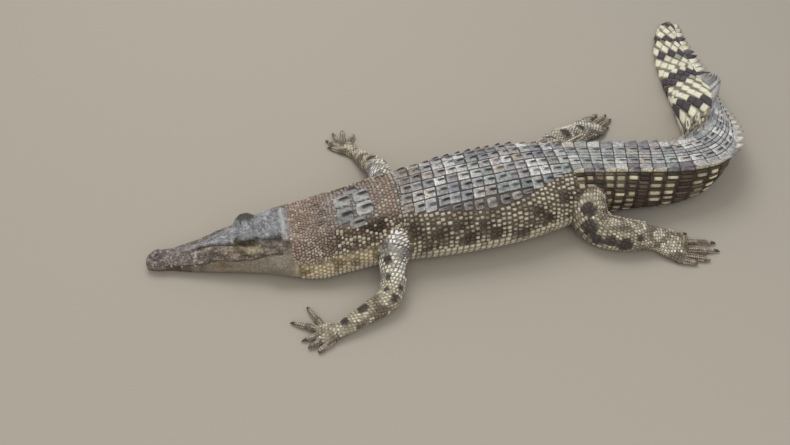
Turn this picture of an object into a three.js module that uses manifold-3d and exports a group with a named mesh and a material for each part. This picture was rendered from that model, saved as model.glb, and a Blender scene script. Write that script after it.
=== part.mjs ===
// A young saltwater crocodile at life size, lying flat on the floor with its legs
// spread and the end of its tail curled to its right and rolled onto its left side.
// Sizes are in millimetres, +Z is up and the animal faces -X.
// Distances along the body are measured on the backbone line from the snout tip.
import * as THREE from "three";
import Module from "manifold-3d";

const kernel = await Module();
kernel.setup();

// Where one length of the body ends and the next begins.
const SKULL_END = 194;
const NECK_END = 312;
const WHORL_START = 593;
const WHORL_PITCH = 17.8;
const TRUNK_END = WHORL_START + 3 * WHORL_PITCH;
const TAIL_1_END = WHORL_START + 11 * WHORL_PITCH;
const TAIL_2_END = WHORL_START + 19 * WHORL_PITCH;
const SINGLE_CREST_START = WHORL_START + 28 * WHORL_PITCH;

// Clear space left between two neighbouring parts, and how far the underside is
// pressed flat against the floor.
const GAP = 0.3;
const BELLY_PRESS = 1;

// Corner counts of one ring of the body, of a limb and of a digit.
const BODY_CORNERS = 20;
const LIMB_CORNERS = 10;
const DIGIT_CORNERS = 6;
const CLAW_CORNERS = 5;
const TOOTH_CORNERS = 4;

// The backbone seen from above, from the snout tip to the tail tip.
const SPINE = [
  [-336, 812], [-290, 818], [-242, 825], [-148, 842], [-100, 852], [-48, 862], [10, 876],
  [70, 892], [140, 912], [210, 936], [275, 954], [330, 959], [380, 962], [417, 971],
  [450, 992], [475, 1032], [485, 1074], [489, 1111], [492, 1153], [495, 1187], [495, 1237],
  [497, 1302], [503, 1367], [513, 1428], [532, 1486],
];

// Body sections: distance, half width, height, share of the height at which the
// section is widest, squareness above and below that, and roll in degrees.
const HEAD_SECTIONS = [
  [0, 8, 15, 0.5, 2, 2, 0],
  [4, 10.5, 19, 0.5, 2.2, 2.2, 0],
  [10, 13, 21.5, 0.5, 2.3, 2.4, 0],
  [20, 15.5, 23, 0.48, 2.3, 2.5, 0], // nostrils
  [33, 16, 24, 0.45, 2.3, 2.6, 0], // notch for the fourth lower tooth
  [47, 19.5, 26, 0.42, 2.3, 2.6, 0],
  [60, 22.5, 29, 0.4, 2.3, 2.6, 0],
  [80, 27, 35, 0.38, 2.2, 2.6, 0],
  [100, 32, 42, 0.36, 2.2, 2.6, 0],
  [125, 38, 48, 0.35, 2.2, 2.6, 0],
  [140, 42, 52, 0.34, 2.2, 2.7, 0], // eyes
  [160, 48, 57, 0.32, 2.3, 2.8, 0],
  [187, 59, 60, 0.3, 2.1, 2.6, 0], // angle of the jaws
];
const TRUNK_SECTIONS = [
  [205, 67, 62, 0.28, 1.9, 2.5, 0],
  [230, 73, 67, 0.27, 1.8, 2.4, 0], // throat
  [265, 71, 77, 0.3, 1.85, 2.4, 0],
  [300, 69, 85, 0.36, 2, 2.5, 0],
  [340, 71, 91, 0.4, 2.1, 2.6, 0], // shoulders
  [390, 76, 96, 0.4, 2.15, 2.7, 0],
  [450, 79, 99, 0.4, 2.2, 2.8, 0],
  [510, 78, 99, 0.4, 2.3, 2.8, 0],
  [560, 73, 94, 0.42, 2.4, 2.7, 0],
  [600, 65, 88, 0.44, 2.6, 2.5, 0], // hips
];
const TAIL_SECTIONS = [
  [640, 57, 82, 0.46, 3, 2.4, 0],
  [690, 48, 80, 0.48, 3.2, 2.4, 0],
  [735, 43, 79, 0.5, 3.2, 2.4, 1],
  [771, 39, 78, 0.5, 3.2, 2.4, 4],
  [811, 35, 76, 0.52, 3.2, 2.4, 13],
  [861, 32, 74, 0.53, 3.2, 2.4, 27],
  [905, 30, 72, 0.54, 3.2, 2.4, 39],
  [941, 28, 70, 0.55, 3, 2.4, 50],
  [983, 24, 70, 0.56, 2.8, 2.4, 62],
  [1017, 20, 69, 0.55, 2.5, 2.3, 70],
  [1067, 15, 67, 0.5, 2.2, 2.2, 80],
  [1132, 10, 64, 0.5, 2, 2.1, 86],
  [1190, 7, 57, 0.5, 2, 2, 88],
  [1240, 5.5, 46, 0.5, 2, 2, 90],
  [1285, 4.5, 32, 0.5, 2, 2, 90],
  [1302, 3.5, 22, 0.5, 2, 2, 90],
  [1317, 1, 8, 0.5, 2, 2, 90],
];
const SECTIONS = [...HEAD_SECTIONS, ...TRUNK_SECTIONS, ...TAIL_SECTIONS];

// Limbs: centre x, y and z, half width and half height, from inside the body to the
// front of the palm or sole. joints are the two rows at which a limb is parted.
const LIMBS = {
  left_fore: {
    parts: ["upper_arm", "forearm", "hand"],
    joints: [4, 7],
    rows: [
      [6, 842, 48, 30, 30], [2, 815, 42, 22, 23], [-2, 790, 33, 18, 19], [-2, 765, 25, 16, 16],
      [-6, 743, 17, 15.5, 15], [-28, 722, 14, 13.5, 13], [-52, 705, 11, 11.5, 10],
      [-70, 694, 8, 11, 8], [-86, 690, 6, 15, 6.5], [-97, 690, 4.6, 15, 5],
    ],
    digits: [
      [-92, 704, -114, 738], [-95, 697, -133, 711], [-90, 690, -116, 680],
      [-84, 684, -107, 668], [-76, 680, -94, 662],
    ],
  },
  right_fore: {
    parts: ["upper_arm", "forearm", "hand"],
    joints: [4, 7],
    rows: [
      [-4, 895, 48, 30, 30], [-13, 925, 48, 22, 23], [-20, 950, 44, 18, 19], [-24, 975, 38, 16, 16],
      [-29, 998, 28, 15, 15], [-41, 1018, 20, 12.5, 13], [-53, 1040, 13, 10, 10],
      [-64, 1058, 8, 9.5, 8], [-76, 1072, 6, 13, 6.5], [-84, 1080, 4.6, 13, 5],
    ],
    digits: [
      [-79, 1062, -108, 1078], [-85, 1070, -112, 1096], [-86, 1078, -102, 1116],
      [-82, 1084, -86, 1122], [-74, 1084, -66, 1110],
    ],
  },
  left_hind: {
    parts: ["thigh", "shank", "foot"],
    joints: [4, 8],
    rows: [
      [262, 938, 40, 34, 30], [266, 908, 40, 29, 32], [268, 888, 36, 26, 31], [275, 870, 28, 24, 26],
      [288, 859, 24, 23, 23], [305, 855, 22, 23, 22], [325, 854, 20, 22, 20], [345, 856, 17, 20, 17],
      [362, 856, 13, 21, 13], [378, 851, 8.6, 26, 9], [391, 846, 6, 27, 6.5], [402, 842, 4.6, 24, 5],
    ],
    digits: [
      [384, 867, 412, 877], [400, 856, 447, 857], [400, 842, 448, 841],
      [392, 828, 430, 823], [386, 821, 411, 816],
    ],
  },
  right_hind: {
    parts: ["thigh", "shank", "foot"],
    joints: [4, 8],
    rows: [
      [246, 968, 40, 34, 30], [236, 990, 40, 29, 32], [230, 1008, 36, 25, 30], [229, 1025, 28, 23, 25],
      [236, 1041, 24, 22, 23], [248, 1057, 22, 22, 22], [263, 1073, 19.6, 21, 20],
      [280, 1090, 16, 19, 16], [296, 1106, 12, 20, 12], [309, 1118, 8.6, 24, 9],
      [319, 1128, 6, 25, 6.5], [327, 1136, 4.6, 22, 5],
    ],
    digits: [
      [327, 1114, 350, 1132], [332, 1128, 358, 1156], [324, 1136, 352, 1168],
      [314, 1142, 336, 1168], [306, 1142, 320, 1160],
    ],
  },
};
const CLAWED_DIGITS = 3;
const CLAW_LENGTH = 9;
const WEB_THICKNESS = 3;

// Eyes: distance along the head, distance from the middle, height and radius.
const EYE = { at: 138, side: 18.5, height: 50, radius: 8 };

const SKIN_GREY = 0x6d6a66;
const SKIN_BROWN = 0x6a5c48;
const SKIN_PALE = 0xb3a888;
const CLAW_DARK = 0x3b342c;
const EYE_AMBER = 0x4a4426;

// A smooth curve through values given at uneven knots.
function curveThrough(knots, values) {
  const last = knots.length - 1;
  const steps = knots.slice(1).map((knot, i) => knot - knots[i]);
  const rises = steps.map((step, i) => (values[i + 1] - values[i]) / step);
  const slopes = knots.map((_, i) => {
    if (i === 0) return rises[0];
    if (i === last) return rises[last - 1];
    const before = steps[i - 1];
    const after = steps[i];
    return (rises[i - 1] * after + rises[i] * before) / (before + after);
  });
  return (at) => {
    let i = 0;
    while (i < last - 1 && at >= knots[i + 1]) i += 1;
    const t = Math.min(Math.max((at - knots[i]) / steps[i], 0), 1);
    const start = values[i] * (1 + 2 * t) * (1 - t) ** 2;
    const end = values[i + 1] * t * t * (3 - 2 * t);
    const leave = slopes[i] * steps[i] * t * (1 - t) ** 2;
    const arrive = slopes[i + 1] * steps[i] * t * t * (t - 1);
    return start + end + leave + arrive;
  };
}

// Distance of each point of a path from its first point, along the path.
function distancesAlong(points) {
  const distances = [0];
  for (let i = 1; i < points.length; i += 1) {
    const step = Math.hypot(...points[i].map((value, k) => value - points[i - 1][k]));
    distances.push(distances[i - 1] + step);
  }
  return distances;
}

const spineKnots = distancesAlong(SPINE);
const spineX = curveThrough(spineKnots, SPINE.map((p) => p[0]));
const spineY = curveThrough(spineKnots, SPINE.map((p) => p[1]));
const BODY_END = spineKnots[spineKnots.length - 1];
const sectionKnots = SECTIONS.map((row) => row[0]);
const [halfWidth, height, widestShare, squareAbove, squareBelow, rollDegrees] = [1, 2, 3, 4, 5, 6].map(
  (column) => curveThrough(sectionKnots, SECTIONS.map((row) => row[column])),
);

// Place and heading of the backbone at a distance from the snout tip.
function spineAt(distance) {
  const ahead = Math.min(distance + 1, BODY_END);
  const behind = Math.max(distance - 1, 0);
  const along = new THREE.Vector3(spineX(ahead) - spineX(behind), spineY(ahead) - spineY(behind), 0);
  along.normalize();
  return { x: spineX(distance), y: spineY(distance), along, left: new THREE.Vector3(along.y, -along.x, 0) };
}

// One ring of the body. The middle of the back lies half a corner before corner 0
// and the corners run round by the animal's left side. grow moves the ring outwards.
function bodyRing(distance, grow = 0) {
  const wide = halfWidth(distance) + grow;
  const tall = height(distance) + 2 * grow;
  const widest = tall * widestShare(distance);
  const roll = THREE.MathUtils.degToRad(rollDegrees(distance));
  const corners = [];
  for (let i = 0; i < BODY_CORNERS; i += 1) {
    const angle = (2 * Math.PI * (i + 0.5)) / BODY_CORNERS;
    const up = Math.cos(angle);
    const out = Math.sin(angle);
    const power = 2 / (up >= 0 ? squareAbove(distance) : squareBelow(distance));
    const across = wide * Math.sign(out) * Math.abs(out) ** power;
    const reach = up >= 0 ? tall - widest : -widest;
    const rise = reach * Math.abs(up) ** power + widest - tall / 2;
    corners.push([
      across * Math.cos(roll) + rise * Math.sin(roll),
      rise * Math.cos(roll) - across * Math.sin(roll),
    ]);
  }
  const lowest = Math.min(...corners.map((corner) => corner[1]));
  const floor = grow > 0 ? -Infinity : 0;
  const place = spineAt(distance);
  return corners.map(([across, rise]) => {
    const z = Math.max(rise - lowest - BELLY_PRESS - grow, floor);
    return new THREE.Vector3(place.x, place.y, z).addScaledVector(place.left, across);
  });
}

// Turns corner positions and triangles into a solid.
function solidFrom(points, triangles) {
  const vertProperties = new Float32Array(points.flatMap((p) => [p.x, p.y, p.z]));
  const made = new kernel.Manifold(
    new kernel.Mesh({ numProp: 3, vertProperties, triVerts: new Uint32Array(triangles) }),
  );
  if (made.volume() > 0) return made;
  const turned = [];
  for (let i = 0; i < triangles.length; i += 3) {
    turned.push(triangles[i], triangles[i + 2], triangles[i + 1]);
  }
  return new kernel.Manifold(
    new kernel.Mesh({ numProp: 3, vertProperties, triVerts: new Uint32Array(turned) }),
  );
}

// A solid skinned over rings of equal corner count and closed by flat ends.
function loft(rings) {
  const corners = rings[0].length;
  const points = rings.flat();
  const triangles = [];
  for (let r = 0; r + 1 < rings.length; r += 1) {
    for (let c = 0; c < corners; c += 1) {
      const next = (c + 1) % corners;
      const a = r * corners + c;
      const b = r * corners + next;
      triangles.push(a, b, b + corners, a, b + corners, a + corners);
    }
  }
  const lastRing = (rings.length - 1) * corners;
  if (corners === 4) {
    triangles.push(0, 2, 1, 0, 3, 2);
    triangles.push(lastRing, lastRing + 1, lastRing + 2, lastRing, lastRing + 2, lastRing + 3);
    return solidFrom(points, triangles);
  }
  for (const [ring, first] of [[rings[0], 0], [rings[rings.length - 1], lastRing]]) {
    const middle = new THREE.Vector3();
    ring.forEach((corner) => middle.addScaledVector(corner, 1 / corners));
    points.push(middle);
    for (let c = 0; c < corners; c += 1) {
      const next = (c + 1) % corners;
      if (first === 0) triangles.push(points.length - 1, first + next, first + c);
      else triangles.push(points.length - 1, first + c, first + next);
    }
  }
  return solidFrom(points, triangles);
}

// The solid of a three.js geometry of closed shape.
function solidOf(geometry) {
  const position = geometry.getAttribute("position");
  const points = [];
  const places = new Map();
  const triangles = [];
  for (let i = 0; i < geometry.index.count; i += 1) {
    const p = new THREE.Vector3().fromBufferAttribute(position, geometry.index.getX(i));
    const key = p.toArray().map((value) => value.toFixed(3)).join();
    if (!places.has(key)) {
      places.set(key, points.length);
      points.push(p);
    }
    triangles.push(places.get(key));
  }
  const whole = [];
  for (let i = 0; i < triangles.length; i += 3) {
    const [a, b, c] = triangles.slice(i, i + 3);
    if (a !== b && b !== c && a !== c) whole.push(a, b, c);
  }
  return solidFrom(points, whole);
}

// A length of the body between two distances, in steps of about the given size.
function bodyLength(from, to, step, grow = 0) {
  const count = Math.ceil((to - from) / step);
  const rings = [];
  for (let i = 0; i <= count; i += 1) {
    rings.push(bodyRing(from + ((to - from) * i) / count, grow));
  }
  return loft(rings);
}

// A point of the body's surface with the direction it faces, so many corners round
// from the middle of the back, which need not be a whole number.
function surfaceAt(distance, corner) {
  const pick = (ring, at) => {
    const low = Math.floor(at);
    const from = ring[((low % BODY_CORNERS) + BODY_CORNERS) % BODY_CORNERS];
    const to = ring[(((low + 1) % BODY_CORNERS) + BODY_CORNERS) % BODY_CORNERS];
    return from.clone().lerp(to, at - low);
  };
  const ring = bodyRing(distance);
  const along = spineAt(distance).along;
  const at = corner - 0.5;
  const round = pick(ring, at + 1).sub(pick(ring, at - 1));
  const outward = new THREE.Vector3().crossVectors(round, along).normalize();
  return { point: pick(ring, at), along, outward };
}

// A keel: a blade standing on the surface, long at its foot, with a short top edge
// towards the back end, its foot set a little way into the body.
function keel(distance, corner, length, thick, tall) {
  const { point, along, outward } = surfaceAt(distance, corner);
  const sideways = new THREE.Vector3().crossVectors(along, outward);
  const SET_IN = 2.5;
  const TOP_START = 0.1;
  const TOP_THICKNESS = 0.3;
  const rings = [-1, 1].map((end) => {
    const top = end < 0 ? TOP_START * length : length / 2;
    const corners = [[end * length / 2, -1, -SET_IN], [end * length / 2, 1, -SET_IN], [top, 1, tall], [top, -1, tall]];
    return corners.map(([forward, side, rise]) => {
      const half = (side * thick * (rise > 0 ? TOP_THICKNESS : 1)) / 2;
      return point
        .clone()
        .addScaledVector(along, forward)
        .addScaledVector(sideways, half)
        .addScaledVector(outward, rise);
    });
  });
  return loft(rings);
}

// The crest of the tail, one keel or one pair of keels to a whorl.
const CREST_CORNER = 2;
function crestKeels(firstWhorl, lastWhorl) {
  const keels = [];
  for (let whorl = firstWhorl; whorl < lastWhorl; whorl += 1) {
    const middle = WHORL_START + (whorl + 0.5) * WHORL_PITCH;
    const remaining = (BODY_END - middle) / (BODY_END - SINGLE_CREST_START);
    if (middle > SINGLE_CREST_START) {
      keels.push(keel(middle, 0, WHORL_PITCH - 5, 4, 8 + 16 * remaining));
    } else {
      const tall = 5 + (9 * whorl) / 28;
      const closing = Math.min(1, 0.3 + (SINGLE_CREST_START - middle) / 180);
      for (const side of [-1, 1]) {
        keels.push(keel(middle, side * CREST_CORNER * closing, WHORL_PITCH - 5, 5, tall));
      }
    }
  }
  return keels;
}

const union = (solids) => kernel.Manifold.union(solids);

// The largest body of a solid, leaving out chips parted from it by a cut, with the
// slivers along the cut merged into their neighbours.
const SLIVER = 0.05;
function largest(solid) {
  const bodies = solid.decompose();
  return bodies.reduce((best, body) => (body.volume() > best.volume() ? body : best)).simplify(SLIVER);
}

// A ball squashed along three directions, placed on the head.
function headBall(at, side, z, radii, around = 8, rows = 6) {
  const place = spineAt(at);
  const ball = new THREE.SphereGeometry(1, around, rows);
  ball.scale(...radii);
  ball.rotateZ(Math.atan2(place.along.y, place.along.x));
  const centre = new THREE.Vector3(place.x, place.y, z).addScaledVector(place.left, side);
  ball.translate(centre.x, centre.y, centre.z);
  return solidOf(ball);
}

// A tooth: a small cone that points up or down at the edge of the mouth.
function tooth(at, side, fromZ, toZ, radius) {
  const place = spineAt(at);
  const ring = (z, size) => {
    const corners = [];
    for (let i = 0; i < TOOTH_CORNERS; i += 1) {
      const angle = (2 * Math.PI * i) / TOOTH_CORNERS;
      corners.push(new THREE.Vector3(
        place.x + place.left.x * side + size * Math.cos(angle),
        place.y + place.left.y * side + size * Math.sin(angle),
        z,
      ));
    }
    return corners;
  };
  return loft([ring(fromZ, radius), ring(toZ, radius * 0.25)]);
}

// Head: the skull and lower jaw are one closed form, parted by a thin cut that
// follows the edge of the mouth and drops behind the corner of the jaws.
const MOUTH_LINE = [
  [-6, 13], [8, 13], [34, 13.5], [48, 14.5], [61, 16.5], [74, 18.5], [84, 20.5], [92, 23.5], [101, 26], [114, 27],
  [127, 28], [140, 31], [157, 36], [166, 39], [178, 42], [187, -4],
];
const lids = [];
const sockets = [];
const eyes = [];
for (const side of [1, -1]) {
  lids.push(headBall(EYE.at, side * 16.5, 49.5, [18, 11.5, 10.5]));
  sockets.push(headBall(EYE.at, side * EYE.side, EYE.height, Array(3).fill(EYE.radius + GAP)));
  sockets.push(headBall(EYE.at, side * (EYE.side + 9), EYE.height + 1, [8, 9, 4.5]));
  eyes.push(headBall(EYE.at, side * EYE.side, EYE.height, Array(3).fill(EYE.radius)));
}

// The flat table of the skull: distance, half width at the top and level.
const SKULL_TABLE = [[146, 16, 57.5], [158, 24, 59.5], [190, 29, 62]];
const TABLE_DEPTH = 16;
const TABLE_FLARE = 6;
const skullTable = loft(SKULL_TABLE.map(([at, half, level]) => {
  const { x, y, left } = spineAt(at);
  const outline = [[-half, 0], [half, 0], [half + TABLE_FLARE, -TABLE_DEPTH], [-half - TABLE_FLARE, -TABLE_DEPTH]];
  return outline.map(([side, rise]) => new THREE.Vector3(x, y, level + rise).addScaledVector(left, side));
}));
const skull = bodyLength(0, SKULL_END - GAP / 2, 16);

function mouthCut() {
  const HALF_SPAN = 90;
  const { along, left } = spineAt(SKULL_END / 2);
  return loft(MOUTH_LINE.map(([at, z], i) => {
    const before = MOUTH_LINE[Math.max(i - 1, 0)];
    const after = MOUTH_LINE[Math.min(i + 1, MOUTH_LINE.length - 1)];
    const run = after[0] - before[0];
    const rise = after[1] - before[1];
    const length = Math.hypot(run, rise);
    const place = spineAt(Math.max(at, 0));
    return [[-1, -1], [1, -1], [1, 1], [-1, 1]].map(([side, half]) => {
      const forward = Math.min(at, 0) - (half * GAP * rise) / length / 2;
      const up = z + (half * GAP * run) / length / 2;
      return new THREE.Vector3(place.x, place.y, up)
        .addScaledVector(along, forward)
        .addScaledVector(left, side * HALF_SPAN);
    });
  }));
}

const UPPER_TEETH = [[12, 12], [24, 14.2], [50, 18], [68, 21.5], [90, 26]];
const mouthHeight = curveThrough(MOUTH_LINE.map((row) => row[0]), MOUTH_LINE.map((row) => row[1]));
const upperTeeth = (extra) =>
  UPPER_TEETH.flatMap(([at, out]) =>
    [1, -1].map((side) => tooth(at, side * out, mouthHeight(at) + 3, mouthHeight(at) - 4 - extra, 1.5 + extra)));
const lowerTeeth = (extra) =>
  [1, -1].map((side) => tooth(36, side * 15.2, 10, 20 + extra, 2 + extra));
const jaws = union([skull, skullTable, ...lids]).subtract(union(sockets)).subtract(mouthCut());
const jawHalves = jaws.decompose().filter((body) => body.volume() > 1000);
jawHalves.sort((a, b) => b.boundingBox().max[2] - a.boundingBox().max[2]);
const head = largest(union([jawHalves[0], ...upperTeeth(0)]).subtract(union(lowerTeeth(GAP))));
const lowerJaw = largest(union([jawHalves[1].subtract(union(upperTeeth(GAP))), ...lowerTeeth(0)]));

// Neck, with the cluster of large keeled scales behind the skull.
const NAPE_KEELS = [[270, 1.3], [270, -0.1], [296, 1.2], [296, -0.1], [283, 2], [283, -0.8]];
const neck = union([
  bodyLength(SKULL_END + GAP / 2, NECK_END - GAP / 2, 18),
  ...NAPE_KEELS.map(([at, corner]) => keel(at, corner, 18, 9, 4.5)),
]);

const trunk = union([bodyLength(NECK_END + GAP / 2, TRUNK_END - GAP / 2, 29), ...crestKeels(0, 3)]);
const tailLengths = {
  tail_1: [TRUNK_END, TAIL_1_END, 3, 11],
  tail_2: [TAIL_1_END, TAIL_2_END, 11, 19],
  tail_3: [TAIL_2_END, SINGLE_CREST_START, 19, 28],
  tail_4: [SINGLE_CREST_START, BODY_END + GAP / 2, 28, 40],
};

// Limbs: tubes of oval section with a flat underside where they lie on the floor.
function limbRings(rows, from, to, corners, perRow) {
  const knots = distancesAlong(rows.map((row) => row.slice(0, 3)));
  const columns = [0, 1, 2, 3, 4].map((k) => curveThrough(knots, rows.map((row) => row[k])));
  const start = knots[from] + (from > 0 ? GAP / 2 : 0);
  const end = knots[to] - (to < rows.length - 1 ? GAP / 2 : 0);
  const count = perRow * (to - from);
  const rings = [];
  for (let i = 0; i <= count; i += 1) {
    const at = start + ((end - start) * i) / count;
    const [x, y, z, wide, tall] = columns.map((column) => column(at));
    const ahead = columns.slice(0, 3).map((column) => column(Math.min(at + 1, knots[knots.length - 1])));
    const behind = columns.slice(0, 3).map((column) => column(Math.max(at - 1, 0)));
    const along = new THREE.Vector3(...ahead).sub(new THREE.Vector3(...behind)).normalize();
    const across = new THREE.Vector3(along.y, -along.x, 0).normalize();
    const up = new THREE.Vector3().crossVectors(across, along);
    const ring = [];
    for (let c = 0; c < corners; c += 1) {
      const angle = (2 * Math.PI * c) / corners;
      const corner = new THREE.Vector3(x, y, z)
        .addScaledVector(across, wide * Math.sin(angle))
        .addScaledVector(up, tall * Math.cos(angle));
      corner.z = Math.max(corner.z, 0);
      ring.push(corner);
    }
    rings.push(ring);
  }
  return rings;
}

// A digit as rows of a small limb, ending where its claw begins.
function digitRows([baseX, baseY, tipX, tipY], clawed, size) {
  const length = Math.hypot(tipX - baseX, tipY - baseY);
  const end = clawed ? 1 - CLAW_LENGTH / length : 1;
  const at = (share) => [baseX + (tipX - baseX) * share, baseY + (tipY - baseY) * share];
  return [
    [...at(-0.15), 4.5, 4 * size, 4.6],
    [...at(0.35 * end), 5.2, 4.2 * size, 5.4],
    [...at(0.75 * end), 3.9, 3.4 * size, 4.2],
    [...at(end), 2.9, clawed ? 2.5 * size : 1.4, clawed ? 3.1 : 1.8],
  ];
}

function clawRows([baseX, baseY, tipX, tipY]) {
  const length = Math.hypot(tipX - baseX, tipY - baseY);
  const at = (back) => [tipX - ((tipX - baseX) * back) / length, tipY - ((tipY - baseY) * back) / length];
  return [
    [...at(CLAW_LENGTH - 2 * GAP), 2.9, 2.1, 2.7],
    [...at(CLAW_LENGTH * 0.45), 2.6, 1.5, 2],
    [...at(0), 0.9, 0.4, 0.7],
  ];
}

// The web of a hind foot: a thin floor-level sheet between two neighbouring digits.
function web(first, second) {
  const tipOf = ([baseX, baseY, tipX, tipY]) => {
    const length = Math.hypot(tipX - baseX, tipY - baseY);
    const reach = Math.min(0.62, 1 - (CLAW_LENGTH + 5) / length);
    return [baseX + (tipX - baseX) * reach, baseY + (tipY - baseY) * reach];
  };
  const rootOf = ([baseX, baseY, tipX, tipY]) => [baseX - (tipX - baseX) * 0.1, baseY - (tipY - baseY) * 0.1];
  const outline = [rootOf(first), tipOf(first), tipOf(second), rootOf(second)];
  return loft([0, WEB_THICKNESS].map((z) => outline.map(([x, y]) => new THREE.Vector3(x, y, z))));
}

const bodyForm = bodyLength(NECK_END - 60, TAIL_1_END, 29, 4.5 * GAP);
const nodes = new Map();
nodes.set("head", [head, SKIN_GREY]);
nodes.set("lower_jaw", [lowerJaw, SKIN_PALE]);
nodes.set("neck", [neck, SKIN_BROWN]);
nodes.set("trunk", [trunk, SKIN_GREY]);
for (const [name, [from, to, firstWhorl, lastWhorl]] of Object.entries(tailLengths)) {
  const length = bodyLength(from + GAP / 2, to - GAP / 2, WHORL_PITCH);
  nodes.set(name, [union([length, ...crestKeels(firstWhorl, lastWhorl)]), SKIN_BROWN]);
}
eyes.forEach((eye, i) => nodes.set(i === 0 ? "left_eye" : "right_eye", [eye, EYE_AMBER]));
for (const [limb, { parts, joints, rows, digits }] of Object.entries(LIMBS)) {
  const ends = [0, joints[0], joints[1], rows.length - 1];
  const hind = parts[2] === "foot";
  parts.forEach((part, i) => {
    const pieces = [loft(limbRings(rows, ends[i], ends[i + 1], LIMB_CORNERS, 2))];
    if (i === 2) {
      digits.forEach((digit, d) => {
        const clawed = d < CLAWED_DIGITS;
        const fingers = digitRows(digit, clawed, hind ? 1.15 : 1);
        pieces.push(loft(limbRings(fingers, 0, 3, DIGIT_CORNERS, 1)));
        if (clawed) {
          const claw = loft(limbRings(clawRows(digit), 0, 2, CLAW_CORNERS, 1));
          nodes.set(limb + "_claw_" + (d + 1), [claw, CLAW_DARK]);
        }
        if (hind && d > 0) pieces.push(web(digits[d - 1], digit));
      });
    }
    const whole = union(pieces);
    const free = i === 0 ? whole.subtract(bodyForm) : whole;
    nodes.set(limb + "_" + part, [largest(free), SKIN_BROWN]);
  });
}

// The origin stands on the floor in the middle of the animal's outline box.
const box = new THREE.Box3();
for (const [solid] of nodes.values()) {
  const { min, max } = solid.boundingBox();
  box.expandByPoint(new THREE.Vector3(...min));
  box.expandByPoint(new THREE.Vector3(...max));
}
const centre = box.getCenter(new THREE.Vector3());
const crocodile = new THREE.Group();
crocodile.name = "saltwater_crocodile";
for (const [name, [solid, color]] of nodes) {
  const { vertProperties, triVerts } = solid.getMesh();
  const geometry = new THREE.BufferGeometry();
  geometry.setAttribute("position", new THREE.BufferAttribute(new Float32Array(vertProperties), 3));
  geometry.setIndex(new THREE.BufferAttribute(new Uint32Array(triVerts), 1));
  geometry.translate(-centre.x, -centre.y, -box.min.z);
  geometry.computeVertexNormals();
  const mesh = new THREE.Mesh(geometry, new THREE.MeshStandardMaterial({ color, roughness: 0.7 }));
  mesh.name = name;
  crocodile.add(mesh);
}
export default crocodile;
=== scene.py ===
from itertools import product

import bpy
import numpy as np
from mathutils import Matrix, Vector
from mathutils.kdtree import KDTree


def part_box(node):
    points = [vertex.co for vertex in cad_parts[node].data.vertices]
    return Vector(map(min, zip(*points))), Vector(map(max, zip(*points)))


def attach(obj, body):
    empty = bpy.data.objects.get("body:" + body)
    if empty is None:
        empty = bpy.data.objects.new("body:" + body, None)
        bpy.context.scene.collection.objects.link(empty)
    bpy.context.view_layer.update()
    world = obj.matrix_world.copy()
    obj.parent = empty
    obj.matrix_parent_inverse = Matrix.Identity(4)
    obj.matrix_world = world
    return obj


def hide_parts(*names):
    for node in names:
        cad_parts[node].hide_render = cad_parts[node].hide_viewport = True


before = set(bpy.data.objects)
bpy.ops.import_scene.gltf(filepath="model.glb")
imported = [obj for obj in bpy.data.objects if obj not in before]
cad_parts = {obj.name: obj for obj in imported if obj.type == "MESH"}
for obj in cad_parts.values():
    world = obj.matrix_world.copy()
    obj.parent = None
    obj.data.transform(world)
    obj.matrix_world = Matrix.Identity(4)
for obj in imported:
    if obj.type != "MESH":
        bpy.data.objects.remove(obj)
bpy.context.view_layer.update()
bpy.ops.object.select_all(action="DESELECT")

# ---------------------------------------------------------------------------
# Body: a crocodile lying flat on its belly, neck low, tail swept round behind it.
# The flesh is one long tube whose oval section changes from snout to tail tip.
# Lengths are millimetres along the back line, and the spine is drawn on the floor.
SPINE = [
    (-336, 812), (-290, 818), (-242, 825), (-148, 842), (-100, 852), (-48, 862), (10, 876), (70, 892),
    (140, 912), (210, 936), (275, 954), (330, 959), (380, 962), (417, 971), (450, 992), (475, 1032),
    (485, 1074), (489, 1111), (492, 1153), (495, 1187), (495, 1237), (497, 1302), (503, 1367),
    (513, 1428), (532, 1486),
]
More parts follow.
